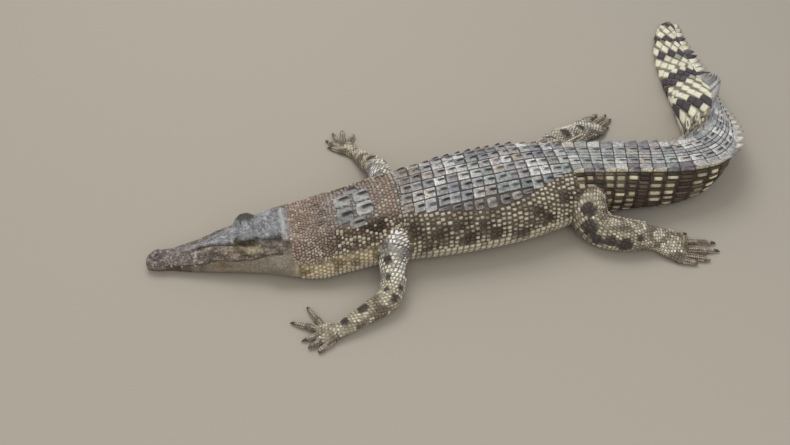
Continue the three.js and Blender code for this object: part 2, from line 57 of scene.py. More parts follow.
# Distance along, half width, height, share of the height where it is widest,
# roundness of the back and of the belly, and how far the tail lies over, in degrees.
SECTIONS = np.array([
    (0, 8, 15, .5, 2, 2, 0), (4, 10.5, 19, .5, 2.2, 2.2, 0), (10, 13, 21.5, .5, 2.3, 2.4, 0),
    (20, 15.5, 23, .48, 2.3, 2.5, 0), (33, 16, 24, .45, 2.3, 2.6, 0), (47, 19.5, 26, .42, 2.3, 2.6, 0),
    (60, 22.5, 29, .4, 2.3, 2.6, 0), (80, 27, 35, .38, 2.2, 2.6, 0), (100, 32, 42, .36, 2.2, 2.6, 0),
    (125, 38, 48, .35, 2.2, 2.6, 0), (140, 42, 52, .34, 2.2, 2.7, 0), (160, 48, 57, .32, 2.3, 2.8, 0),
    (187, 59, 60, .3, 2.1, 2.6, 0), (205, 67, 62, .28, 1.9, 2.5, 0), (230, 73, 67, .27, 1.8, 2.4, 0),
    (265, 71, 77, .3, 1.85, 2.4, 0), (300, 69, 85, .36, 2.0, 2.5, 0), (340, 71, 91, .4, 2.1, 2.6, 0),
    (390, 76, 96, .4, 2.15, 2.7, 0), (450, 79, 99, .4, 2.2, 2.8, 0), (510, 78, 99, .4, 2.3, 2.8, 0),
    (560, 73, 94, .42, 2.4, 2.7, 0), (600, 65, 88, .44, 2.6, 2.5, 0), (640, 57, 82, .46, 3, 2.4, 0),
    (690, 48, 80, .48, 3.2, 2.4, 0), (735, 43, 79, .5, 3.2, 2.4, 1), (771, 39, 78, .5, 3.2, 2.4, 4),
    (811, 35, 76, .52, 3.2, 2.4, 13), (861, 32, 74, .53, 3.2, 2.4, 27), (905, 30, 72, .54, 3.2, 2.4, 39),
    (941, 28, 70, .55, 3, 2.4, 50), (983, 24, 70, .56, 2.8, 2.4, 62), (1017, 20, 69, .55, 2.5, 2.3, 70),
    (1067, 15, 67, .5, 2.2, 2.2, 80), (1132, 10, 64, .5, 2, 2.1, 86), (1190, 7, 57, .5, 2, 2, 88),
    (1240, 5.5, 46, .5, 2, 2, 90), (1285, 4.5, 32, .5, 2, 2, 90), (1302, 3.5, 22, .5, 2, 2, 90),
    (1317, 1, 8, .5, 2, 2, 90),
])
HALF_WIDTH, HEIGHT, WIDEST, BACK_ROUND, BELLY_ROUND, LEAN = range(1, 7)
BELLY_PRESS = 1.0
EYE_AT, EYE_SIDE, EYE_UP = 138.0, 18.5, 50.0
# Where the skull gives way to the neck, and where the working of the head stops.
HEAD_END, RELIEF_END = 212, 215


def through(knots, values, at):
    """A smooth curve through the values at the knots."""
    knots, values, at = (np.asarray(v, float) for v in (knots, values, at))
    span = np.diff(knots)
    slope = np.diff(values) / span
    lean = np.empty_like(values)
    lean[0], lean[-1] = slope[0], slope[-1]
    lean[1:-1] = (slope[:-1] * span[1:] + slope[1:] * span[:-1]) / (span[:-1] + span[1:])
    i = np.clip(np.searchsorted(knots, at, side="right") - 1, 0, len(knots) - 2)
    t = np.clip((at - knots[i]) / span[i], 0, 1)
    return (values[i] * (1 + 2 * t) * (1 - t) ** 2 + lean[i] * span[i] * t * (1 - t) ** 2
            + values[i + 1] * t * t * (3 - 2 * t) + lean[i + 1] * span[i] * t * t * (t - 1))


def distances(points):
    return np.concatenate([[0], np.cumsum(np.linalg.norm(np.diff(points, axis=0), axis=1))])


def rise(value, low, high):
    """0 below low, 1 above high, and smooth between them."""
    t = np.clip((value - low) / (high - low), 0, 1)
    return t * t * (3 - 2 * t)


def bell(value, width):
    return np.exp(-(value / width) ** 2)


def clouds(points, size, seed):
    """A smooth random field from 0 to 1 over places in millimetres."""
    place = np.asarray(points, float) / size + 4096.0
    cell = np.floor(place).astype(np.int64)
    part = place - cell
    part = part * part * (3 - 2 * part)
    total = 0
    for corner in product((0, 1), repeat=3):
        x, y, z = np.moveaxis(cell + np.array(corner), -1, 0)
        mixed = (x * 73856093) ^ (y * 19349663) ^ (z * 83492791) ^ (seed * 40503 + 977)
        mixed = ((mixed ^ (mixed >> 13)) * 1274126177) & 0x7FFFFFFF
        value = ((mixed ^ (mixed >> 15)) & 0xFFFF) / 65535
        total = total + value * np.prod(np.where(corner, part, 1 - part), axis=-1)
    return total


def station(column, at):
    return through(SECTIONS[:, 0], SECTIONS[:, column], at)


spine = np.array(SPINE, float)
spine_reach = distances(spine)
TAIL_TIP = float(spine_reach[-1])


def spine_at(at):
    """Place, heading to the tail, and the animal's left, on the floor."""
    at = np.asarray(at, float)
    inside = np.clip(at, 0, TAIL_TIP)
    place = np.stack([through(spine_reach, spine[:, k], inside) for k in (0, 1)], -1)
    ahead = np.stack([through(spine_reach, spine[:, k], inside + 1) for k in (0, 1)], -1)
    behind = np.stack([through(spine_reach, spine[:, k], inside - 1) for k in (0, 1)], -1)
    heading = (ahead - behind) / np.linalg.norm(ahead - behind, axis=-1, keepdims=True)
    place = place + heading * (at - inside)[..., None]
    return place, heading, np.stack([heading[..., 1], -heading[..., 0]], -1)


eye_place, _, eye_left = spine_at(EYE_AT)
eye_low, eye_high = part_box("left_eye")
TO_ROW = np.append(-(eye_place + eye_left * EYE_SIDE), -EYE_UP) + np.array((eye_low + eye_high) / 2) * 1000


def oval(at, turn):
    """Points of the plain section: how far to the left, and how far up from the belly."""
    wide, high, widest = station(HALF_WIDTH, at), station(HEIGHT, at), station(WIDEST, at)
    upper = np.cos(turn) >= 0
    power = 2 / np.where(upper, station(BACK_ROUND, at), station(BELLY_ROUND, at))
    side = wide * np.sign(np.sin(turn)) * np.abs(np.sin(turn)) ** power
    above = np.abs(np.cos(turn)) ** power
    return side, high * (widest + np.where(upper, (1 - widest) * above, -widest * above))


# The line of the lips: distance along, level.
MOUTH_LINE = [
    (-6, 13), (8, 13), (34, 13.5), (48, 14.5), (61, 16.5), (74, 18.5), (84, 20.5), (92, 23.5), (101, 26),
    (114, 27), (127, 28), (140, 31), (157, 36), (166, 39), (178, 42), (190, 43),
]
# The ridges from the eyes down the snout: distance along, distance from the middle.
RIDGE_LINE = [(0, 2), (44, 2.2), (69, 2.8), (84, 4.2), (98, 7.6), (109, 11), (123, 16), (134, 19.5), (212, 30)]
RIDGE_LIFT, BROW_LIFT, LIP_BULGE, TOOTH_PITCH = 2.4, 2.0, 0.8, 12.5
MOUTH_GROOVE, EAR_DEPTH, LID_DEPTH = 1.5, 2.4, 4.6


def mouth_level(at):
    return through(*zip(*MOUTH_LINE), at)


def ridge_side(at):
    return through(*zip(*RIDGE_LINE), at)


def lid_reach(at, up):
    """0 in the middle of the opening between the lids, and 1 at its edge."""
    return np.hypot((at - EYE_AT - 1) / 9.5, (up - EYE_UP - 0.6 - 0.08 * (at - EYE_AT)) / 3.4)


def nostril_reach(at, side, half_long, half_wide):
    """0 in the middle of a nostril's slanting slit, and 1 at its edge."""
    return np.hypot((at - 17) / half_long, (side - 4.2 + 0.25 * (at - 17)) / half_wide)


def soft_max(one, other, blend):
    return 0.5 * (one + other + np.sqrt((one - other) ** 2 + blend ** 2))


def head_relief(at, side, up):
    """Works the plain tube of the head into snout, brow, skull table, jaws and eye openings."""
    centre = station(HEIGHT, at) * station(WIDEST, at)
    high = station(HEIGHT, at)
    reach = np.hypot(side, up - centre)
    sideways, upwards = np.abs(side) / reach, (up - centre) / reach

    def ball(radius, where, radii, blend, blunt=0.5):
        """Swells the head to a ball's far side; blunt is how full the ball's ends are."""
        middle_at, middle_side, middle_up = where
        inside = np.clip(1 - ((at - middle_at) / radii[0]) ** 2, 1e-9, 1)
        half_side, half_up = radii[1] * inside ** blunt, radii[2] * inside ** blunt
        a = (sideways / half_side) ** 2 + (upwards / half_up) ** 2
        b = sideways * middle_side / half_side ** 2 + upwards * (middle_up - centre) / half_up ** 2
        c = (middle_side / half_side) ** 2 + ((middle_up - centre) / half_up) ** 2 - 1
        found = b * b - a * c
        edge = np.where((found > 0) & (inside > 1e-6), (b + np.sqrt(np.maximum(found, 0))) / a, 0)
        return soft_max(radius, edge, blend)

    # The flat table over the back of the skull, its sides square to its top.
    table_half = through([140, 158, 192], [15, 27, 32], at)
    table_top = through([140, 158, 192], [56.5, 60.5, 63], at)
    window = rise(at, 141, 150) * (1 - rise(at, 189.5, 193))
    lifted = np.maximum(upwards, 1e-6) / (table_top - centre)
    slab = ((sideways / table_half) ** 7 + lifted ** 7) ** (-1 / 7) * (upwards > 0.02)
    radius = soft_max(reach, slab * window, 1.0)
    # Domes over the eyes, the brow between them, the nose boss and the jaw muscles.
    radius = ball(radius, (EYE_AT + 3, 0, 43), (30, 17, 11), 2.0)
    radius = ball(radius, (EYE_AT + 1, 17.5, EYE_UP), (18, 10.5, 11), 2.5, 0.85)
    radius = ball(radius, (18, 0, 20), (11, 9.5, 7.5), 1.0)
    radius = ball(radius, (184, 44, 27), (24, 15, 15), 2.5)
    side, up = np.sign(side) * sideways * radius, centre + upwards * radius

    # Ridges that run from the corners of the eyes down the snout.
    tall = rise(at, 40, 80) * (1 - rise(at, 125, 133))
    top_face = rise(up, centre + 0.25 * (high - centre), centre + 0.6 * (high - centre))
    off = np.abs(side) - ridge_side(at)
    crest = np.where(off < 0, 0.35 + 0.65 * bell(off, 4.0), bell(off, 1.5))
    up = up + tall * top_face * RIDGE_LIFT * (crest - bell(off - 2.8, 1.3))
    # A brow plate whose edge stands out over the eye.
    brow = bell(at - EYE_AT, 13) * bell(np.abs(side) - 21, 3.4) * rise(up, EYE_UP + 3, EYE_UP + 7)
    up = up + BROW_LIFT * brow
    # Nostrils: two slanting slits on the boss, each in a raised rim.
    slit = nostril_reach(at, np.abs(side), 3.4, 1.5)
    on_top = rise(up, 20, 23)
    up = up + on_top * (0.9 * bell(slit - 1.6, 0.7) - 2.4 * bell(slit, 0.8))
    # The groove of the closed mouth, under a lip that bulges over each tooth.
    outer = rise(np.abs(side), 0.5 * station(HALF_WIDTH, at), 0.8 * station(HALF_WIDTH, at))
    shut = outer * (1 - rise(at, 170, 177))
    over = up - mouth_level(at) - BELLY_PRESS
    lip = LIP_BULGE * bell(over - 2.8, 2.0) * (0.55 + 0.45 * np.sin(at * 2 * np.pi / TOOTH_PITCH))
    jaw = 1.3 * rise(-over, 0, 1.2) * (1 - rise(-over, 9, 14))
    groove = MOUTH_GROOVE * bell(over, 0.75)
    side = side + np.sign(side) * shut * (lip * (1 - rise(at, 120, 160)) - jaw - groove)
    # The ear slit under the edge of the skull table.
    ear = rise(at, 149, 155) * (1 - rise(at, 186, 190)) * (np.abs(side) > table_half - 5)
    side = side - np.sign(side) * EAR_DEPTH * ear * bell(up - (table_top - 6.5 + 0.05 * (at - 150)), 1.3)
    # The opening between the lids.
    lid = lid_reach(at, up)
    inward = LID_DEPTH * (1 - rise(lid, 0.9, 1.08)) * (np.abs(side) > 16)
    fold = (0.9 * bell(lid - 1.7, 0.22) - 0.7 * bell(lid - 1.25, 0.16)) * (np.abs(side) > 16) * (up > 38)
    side = side - np.sign(side) * (inward + fold)
    return side, up


def body_rings(at, shares):
    """Rings of the whole body; a share runs round from the back line over the left side."""
    at = np.asarray(at, float)[:, None]
    dense = np.linspace(0, 2 * np.pi, 721)[None, :]
    plain_side, plain_up = oval(np.clip(at, 0, TAIL_TIP), dense)
    arc = np.cumsum(np.hypot(np.diff(plain_side), np.diff(plain_up)), axis=1)
    arc = np.concatenate([np.zeros((len(at), 1)), arc], axis=1)
    turn = np.stack([np.interp(shares * row[-1], row, dense[0]) for row in arc])
    inside = np.clip(at, 0, TAIL_TIP)
    side, up = oval(inside, turn)
    worked_side, worked_up = head_relief(inside, side, up)
    on_head = at < RELIEF_END
    side, up = np.where(on_head, worked_side, side), np.where(on_head, worked_up, up)
    closing = np.sqrt(np.clip(1 - (1 - np.minimum(at / 5, 1)) ** 2, 0, 1))
    middle = station(HEIGHT, inside) / 2
    side, up = side * closing, middle + (up - middle) * closing
    lean = np.radians(station(LEAN, inside))
    tipped = -plain_side * np.sin(lean) + (plain_up - middle) * np.cos(lean)
    lowest = tipped.min(axis=1, keepdims=True)
    left = side * np.cos(lean) + (up - middle) * np.sin(lean)
    level = -side * np.sin(lean) + (up - middle) * np.cos(lean) - lowest - BELLY_PRESS
    place, _, to_left = spine_at(at[:, 0])
    floor_places = place[:, None] + to_left[:, None] * left[..., None]
    rings = np.concatenate([floor_places, np.maximum(level, 0)[..., None]], axis=-1)
    # Lumps of the bone under the skin of the head, finer on the snout, drawn out on the cheeks.
    lumps = (clouds(rings, 6.5, 3) - 0.5) * 1.7 + (clouds(rings, 2.6, 4) - 0.5) * (1.1 + 0.9 * (at < 60))
    drawn_out = np.stack([np.broadcast_to(at * 0.25, side.shape), side * 0.5, up], -1)
    on_side = rise(at, 70, 90) * (1 - rise(up, 44, 50)) * rise(up, 20, 28)
    lumps = lumps + (clouds(drawn_out, 3.0, 5) - 0.5) * 2.4 * on_side
    shift = lumps * (0.25 + 0.75 * rise(rings[..., 2], 14, 26))
    outward = rings - rings.mean(axis=1, keepdims=True)
    outward /= np.linalg.norm(outward, axis=2, keepdims=True)
    rough = (rise(HEAD_END - at, 0, 20) * rise(at, 0, 6))[..., None]
    rings = rings + outward * shift[..., None] * rough
    rings[..., 2] = np.maximum(rings[..., 2], 0)
    return rings + TO_ROW


class Form:
    """A surface laid out as rings: so far along it, and so far round from its top line."""

    def __init__(self, along, rings):
        self.along, self.rings = np.asarray(along, float), rings
        round_step = np.roll(rings, -1, axis=1) - rings
        self.girths = np.linalg.norm(round_step, axis=2).sum(axis=1)
        lengthways = np.gradient(rings, self.along, axis=0)
        around = np.roll(rings, -1, axis=1) - np.roll(rings, 1, axis=1)
        normals = np.cross(around, lengthways)
        normals /= np.maximum(np.linalg.norm(normals, axis=2, keepdims=True), 1e-9)
        middle = rings.mean(axis=1, keepdims=True)
        outward = np.sign(np.sum((rings - middle) * normals))
        self.normals = normals * outward

    def girth(self, along):
        return np.interp(along, self.along, self.girths)

    def place(self, along, around):
        """Places and normals at distances along, and distances round from the top line."""
        along, around = np.broadcast_arrays(np.asarray(along, float), np.asarray(around, float))
        row = np.interp(along, self.along, np.arange(len(self.along)))
        i = np.minimum(row.astype(int), len(self.along) - 2)
        count = self.rings.shape[1]
        column = (around / self.girth(along)) % 1 * count
        j = np.minimum(column.astype(int), count - 1)
        di, dj = (row - i)[..., None], (column - j)[..., None]
        k = (j + 1) % count
        results = []
        for table in (self.rings, self.normals):
            near = table[i, j] * (1 - dj) + table[i, k] * dj
            far = table[i + 1, j] * (1 - dj) + table[i + 1, k] * dj
            results.append(near * (1 - di) + far * di)
        results[1] /= np.maximum(np.linalg.norm(results[1], axis=-1, keepdims=True), 1e-9)
        return results


FORM_COLUMNS = 480
form_along = np.concatenate([
    [0.02, 0.15, 0.4, 0.75], np.arange(1.2, HEAD_END, 0.5), np.arange(HEAD_END, TAIL_TIP, 1.5), [TAIL_TIP],
])
body = Form(form_along, body_rings(form_along, np.arange(FORM_COLUMNS) / FORM_COLUMNS))

# ---------------------------------------------------------------------------
# Limbs: each one upper limb, lower limb and flat foot in one tapering tube, with
# five digits.  The first three digits have claws, and the hind toes are webbed.

# Rows hold floor place, level, half width and half thickness, from root to foot;
# digits run from base to tip on the floor.
LIMBS = {
    "left_fore": {
        "rows": [
            (6, 842, 48, 30, 30), (2, 815, 42, 22, 23), (-2, 790, 33, 18, 19), (-2, 765, 25, 16, 16),
            (-6, 743, 17, 15.5, 15), (-28, 722, 14, 13.5, 13), (-52, 705, 11, 11.5, 10),
            (-70, 694, 8, 11, 8), (-86, 690, 6, 15, 6.5), (-97, 690, 4.6, 15, 5),
        ],
        "digits": [
            (-92, 704, -114, 738), (-95, 697, -133, 711), (-90, 690, -116, 680),
            (-84, 684, -107, 668), (-76, 680, -94, 662),
        ],
    },
    "right_fore": {
        "rows": [
            (-4, 895, 48, 30, 30), (-13, 925, 48, 22, 23), (-20, 950, 44, 18, 19), (-24, 975, 38, 16, 16),
            (-29, 998, 28, 15, 15), (-41, 1018, 20, 12.5, 13), (-53, 1040, 13, 10, 10),
            (-64, 1058, 8, 9.5, 8), (-76, 1072, 6, 13, 6.5), (-84, 1080, 4.6, 13, 5),
        ],
        "digits": [
            (-79, 1062, -108, 1078), (-85, 1070, -112, 1096), (-86, 1078, -102, 1116),
            (-82, 1084, -86, 1122), (-74, 1084, -66, 1110),
        ],
    },
    "left_hind": {
        "rows": [
            (262, 938, 40, 34, 30), (266, 908, 40, 29, 32), (268, 888, 36, 26, 31), (275, 870, 28, 24, 26),
            (288, 859, 24, 23, 23), (305, 855, 22, 23, 22), (325, 854, 20, 22, 20), (345, 856, 17, 20, 17),
            (362, 856, 13, 21, 13), (378, 851, 8.6, 26, 9), (391, 846, 6, 27, 6.5), (402, 842, 4.6, 24, 5),
        ],
        "digits": [
            (384, 867, 412, 877), (400, 856, 447, 857), (400, 842, 448, 841),
            (392, 828, 430, 823), (386, 821, 411, 816),
        ],
    },
    "right_hind": {
        "rows": [
            (246, 968, 40, 34, 30), (236, 990, 40, 29, 32), (230, 1008, 36, 25, 30), (229, 1025, 28, 23, 25),
            (236, 1041, 24, 22, 23), (248, 1057, 22, 22, 22), (263, 1073, 19.6, 21, 20),
            (280, 1090, 16, 19, 16), (296, 1106, 12, 20, 12), (309, 1118, 8.6, 24, 9),
            (319, 1128, 6, 25, 6.5), (327, 1136, 4.6, 22, 5),
        ],
        "digits": [
            (327, 1114, 350, 1132), (332, 1128, 358, 1156), (324, 1136, 352, 1168),
            (314, 1142, 336, 1168), (306, 1142, 320, 1160),
        ],
    },
}
CLAW_LENGTH = 9.0
DIGITS, CLAWED = 5, 3


def tube_rings(rows, step, corners):
    """Rings of a tube through the rows, flat where it lies on the floor."""
    rows = np.array(rows, float)
    knots = distances(rows[:, :3])
    along = np.linspace(0, knots[-1], max(4, int(knots[-1] / step)))
    columns = [through(knots, rows[:, k], along) for k in range(5)]
    middle = np.stack(columns[:3], -1)
    ahead = np.stack([through(knots, rows[:, k], along + 1) for k in range(3)], -1)
    behind = np.stack([through(knots, rows[:, k], along - 1) for k in range(3)], -1)
    heading = (ahead - behind) / np.linalg.norm(ahead - behind, axis=1, keepdims=True)
    across = np.stack([heading[:, 1], -heading[:, 0], 0 * heading[:, 0]], -1)
    across /= np.linalg.norm(across, axis=1, keepdims=True)
    above = np.cross(across, heading)
    turn = 2 * np.pi * np.arange(corners) / corners
    rings = (middle[:, None]
             + across[:, None] * (columns[3][:, None] * np.sin(turn))[..., None]
             + above[:, None] * (columns[4][:, None] * np.cos(turn))[..., None])
    rings[..., 2] = np.maximum(rings[..., 2], 0)
    return along, rings + TO_ROW


def ends_of(digit):
    return np.array(digit[:2], float), np.array(digit[2:], float)


def digit_rows(digit, clawed, size):
    """Rows of a digit's tube: a knuckle near the root, another before the tip."""
    base, tip = ends_of(digit)
    length = np.linalg.norm(tip - base)
    end = 1 - (CLAW_LENGTH - 1.5) / length if clawed else 1
    rows = []
    for share, level, half, thick in (
        (-0.15, 4.5, 4, 4.6), (0.35 * end, 5.2, 4.2, 5.4), (0.58 * end, 4.3, 3.5, 4.4),
        (0.78 * end, 4.0, 3.6, 4.2), (end, 2.9, 2.4 if clawed else 1.5, 2.9 if clawed else 1.9),
    ):
        rows.append((*(base + (tip - base) * share), level, half * size, thick))
    return rows


limb_forms = {name: Form(*tube_rings(limb["rows"], 1.0, 240)) for name, limb in LIMBS.items()}
digit_forms = {}
for name, limb in LIMBS.items():
    for number, digit in enumerate(limb["digits"]):
        size = 1.15 if "hind" in name else 1.0
        rows = digit_rows(digit, number < CLAWED, size)
        digit_forms[name, number] = Form(*tube_rings(rows, 0.6, 96))


# ---------------------------------------------------------------------------
# Hide: the living colours.  Slate back, brown flanks speckled with cream, a pale
# belly, and a tail barred black and straw, all dulled by dried mud.
def shade(red, green, blue):
    """A paint colour, from 0 to 255 a channel, as the linear numbers of a surface."""
    value = np.array([red, green, blue], float) / 255
    return np.where(value <= 0.04045, value / 12.92, ((value + 0.055) / 1.055) ** 2.4)


def mix(first, second, amount):
    return first + (second - first) * np.asarray(amount)[..., None]


MUD_BROWN, NIGHT_BROWN, CREAM = shade(122, 104, 86), shade(66, 54, 43), shade(200, 189, 166)
STRAW, OLIVE, TAN = shade(242, 234, 208), shade(116, 105, 80), shade(150, 131, 116)
BELLY_CREAM, HEAD_MAUVE, HEAD_BLUE = shade(204, 192, 170), shade(138, 125, 120), shade(152, 152, 155)
TAIL_BLACK = shade(72, 64, 70)
# Dark blotches on the flank: distance along, distance round, radius.
FLANK_BLOTCHES = [
    (354, 72, 12), (392, 84, 10), (430, 102, 11), (468, 103, 11), (505, 115, 12), (540, 96, 10),
    (420, 80, 8), (452, 88, 8), (524, 84, 9), (570, 70, 10), (376, 104, 8), (330, 80, 9), (265, 58, 14),
    (300, 66, 11),
]
# Dark blotches on the limbs: floor place, level, radius.
LIMB_BLOTCHES = [
    (263, 867, 57, 11), (264, 851, 38, 12), (274, 840, 25, 10), (292, 834, 27, 10), (311, 832, 23, 11),
    (332, 837, 31, 6), (246, 894, 59, 7), (250, 1010, 52, 13), (236, 1040, 40, 12), (262, 1066, 34, 11),
    (292, 1100, 20, 10), (-10, 780, 47, 7), (-9, 758, 38, 5), (0, 732, 26, 6), (7, 745, 30, 5),
    (-11, 742, 31, 4), (-41, 716, 24, 8), (-18, 955, 50, 10), (-34, 1002, 38, 8), (-62, 700, 14, 7),
]
WHORL_START, WHORL_PITCH, SINGLE_CREST = 593.0, 17.8, 1091.4
# Dark bands of the tail: where each leaves the crest, and half its width.
TAIL_BANDS = [(900, 5), (941, 13), (1094, 16), (1182, 13), (1236, 9), (1288, 8)]
# How far round from the back line the bony plates of the back reach: distance along, reach.
ARMOUR_EDGE = [
    (346, 44), (372, 50), (410, 58), (447, 66), (480, 68), (510, 62), (535, 54), (556, 46), (575, 38),
    (593, 33),
]
# How far round from the back line the crest of the tail stands: distance along, reach.
CREST_LINE = [
    (593, 33), (700, 31), (771, 30), (861, 28), (905, 25), (941, 22), (983, 17), (1017, 12), (1067, 5),
    (1091, 3), (1200, 0),
]
# How much further back a scale of the tail's side lies for each millimetre down it.
TAIL_SLANT = [
    (900, 0), (935, 0.62), (960, 0.62), (1030, 0), (1094, -0.42), (1180, -0.42), (1236, 0), (1317, 0),
]


def armour_edge(along):
    return through(*zip(*ARMOUR_EDGE), along)


def crest_out(along):
    return through(*zip(*CREST_LINE), along)


def tail_slant(along):
    return through(*zip(*TAIL_SLANT), along)


def down_side(along, around):
    """How far down the side of the tail a place lies below its crest."""
    return np.maximum(np.abs(around) - crest_out(along), 0)


def girth_share(along, around):
    """How far round from the back line, 0, to the belly line, 1."""
    return np.abs(around) / (0.5 * body.girth(along))


def slanted(along, around):
    """Cross rows lie askew to the back line on the trunk, and on the sides of the tail's end."""
    askew = 0.17 * rise(along, 320, 380) * (1 - rise(along, 740, 840)) * np.clip(around, -55, 55)
    return along - askew + tail_slant(along) * down_side(along, around)


def band(along, around):
    """1 inside the dark bands of the tail, 0 between them."""
    dark = 0
    for middle, half in TAIL_BANDS:
        off = np.abs(along - middle - tail_slant(middle) * down_side(middle, around))
        dark = np.maximum(dark, 1 - rise(off, half - 2, half + 2))
    return dark


def slate(places):
    """Slate of the bony plates, blue, purple, pale, greenish or brown from patch to patch."""
    colour = np.broadcast_to(shade(166, 165, 165), np.shape(places))
    for size, seed, level, tone in (
        (24, 41, 0.5, shade(160, 152, 154)), (17, 42, 0.46, shade(214, 211, 206)),
        (28, 43, 0.6, shade(158, 164, 159)), (21, 44, 0.62, shade(176, 165, 153)),
        (13, 45, 0.62, shade(128, 129, 134)),
    ):
        colour = mix(colour, tone, 0.8 * rise(clouds(places, size, seed), level, level + 0.16))
    return colour


def body_hide(along, around, places):
    """Colour of the scales at distances along the body and round it."""
    share = girth_share(along, around)
    patchy, speckle = clouds(places, 26, 11), clouds(places, 7, 12)
    spots = 0
    for middle, round_at, radius in FLANK_BLOTCHES:
        off = np.hypot(along - middle, np.abs(around) - round_at)
        spots = np.maximum(spots, 1 - rise(off, radius - 3, radius + 3))
    dark = np.maximum(0.9 * spots, 0.4 * rise(patchy, 0.68, 0.84))
    flank = mix(CREAM * 1.05, MUD_BROWN * 1.3, 0.75 * rise(speckle, 0.56, 0.76))
    flank = mix(flank, NIGHT_BROWN * 1.1, dark)
    under = mix(BELLY_CREAM, OLIVE, 0.4 * rise(patchy, 0.6, 0.8))
    colour = mix(slate(places), flank, rise(np.abs(around) - armour_edge(along), -1, 1))
    colour = mix(colour, under, rise(share, 0.54, 0.64))
    # Neck: red-brown behind the skull, tan before the shoulders, yellowish under the throat.
    nape = mix(shade(160, 139, 124), shade(190, 174, 160), rise(speckle, 0.5, 0.7))
    nape = mix(nape, TAN * 1.15, rise(along, 290, 312))
    nape = mix(nape, shade(152, 146, 142), bell(along - 278, 34) * bell(around - 10, 46))
    nape_side = mix(MUD_BROWN, NIGHT_BROWN, rise(patchy, 0.3, 0.6))
    nape = mix(nape, nape_side, rise(share, 0.17, 0.27) * rise(along, 225, 262))
    yellowish = mix(shade(216, 198, 162), OLIVE * 1.6, rise(speckle, 0.5, 0.7))
    nape = mix(nape, yellowish, rise(share, 0.38, 0.46))
    nape = mix(nape, shade(208, 198, 178), rise(share, 0.52, 0.6))
    colour = mix(colour, nape, 1 - rise(along, 336, 350))
    # Tail: slate above the crests, and straw with dark bands where it lies over.
    side = mix(mix(MUD_BROWN, NIGHT_BROWN, rise(speckle, 0.4, 0.7)), STRAW, rise(along, 850, 880))
    side = mix(side, TAIL_BLACK, band(along, around))
    tail = mix(slate(places), side, rise(np.abs(around) - crest_out(along), 0, 2))
    tail = mix(tail, side, rise(along, 1088, 1100))
    return mix(colour, tail, rise(along, 588, 598))


def limb_hide(places, whiteness=0.0):
    """Colour of the scales of a limb at places in the row frame."""
    patchy, speckle = clouds(places, 10, 21), clouds(places, 6, 22)
    colour = mix(shade(214, 204, 182), shade(164, 150, 126), rise(speckle, 0.45, 0.65))
    colour = mix(colour, shade(108, 94, 78), 0.75 * rise(patchy, 0.56, 0.62))
    white = mix(shade(240, 235, 228), shade(134, 136, 142), rise(clouds(places, 10, 23), 0.52, 0.58))
    colour = mix(colour, white, whiteness)
    spots = 0
    for x, y, z, radius in LIMB_BLOTCHES:
        off = np.linalg.norm(places - (np.array([x, y, z]) + TO_ROW), axis=-1)
        spots = np.maximum(spots, 1 - rise(off, radius - 2, radius + 1))
        colour = mix(colour, shade(212, 204, 176), 0.6 * bell(off - radius - 4, 3))
    colour = mix(colour, shade(66, 57, 56), 0.95 * spots)
    # Painted shade: the limb is darker within about 6 to 16 mm of the floor.
    return mix(colour, colour * 0.86, 1 - rise(places[..., 2], 6, 16))


# Marks on the sides of the head: distance along, level, half length, half height,
# colour and strength.
HEAD_MARKS = [
    (142, 43, 17, 4.5, shade(184, 168, 134), 0.75), (126, 38, 18, 5, shade(150, 138, 112), 0.6),
    (137, 36, 13, 2.6, shade(104, 80, 58), 0.8), (160, 45, 3.4, 2, shade(52, 44, 36), 0.9),
    (171, 45, 9, 1.4, shade(196, 184, 166), 0.7), (176, 49, 14, 2.6, shade(116, 98, 94), 0.7),
    (178, 38, 12, 2.4, shade(160, 148, 118), 0.6), (104, 20, 5, 4, shade(120, 88, 62), 0.85),
    (66, 22, 12, 4, shade(150, 134, 128), 0.5), (96, 32, 14, 3.5, shade(96, 88, 82), 0.5),
    (186, 33, 12, 1.2, shade(92, 80, 62), 0.7), (28, 20, 9, 3, shade(100, 86, 84), 0.6),
]


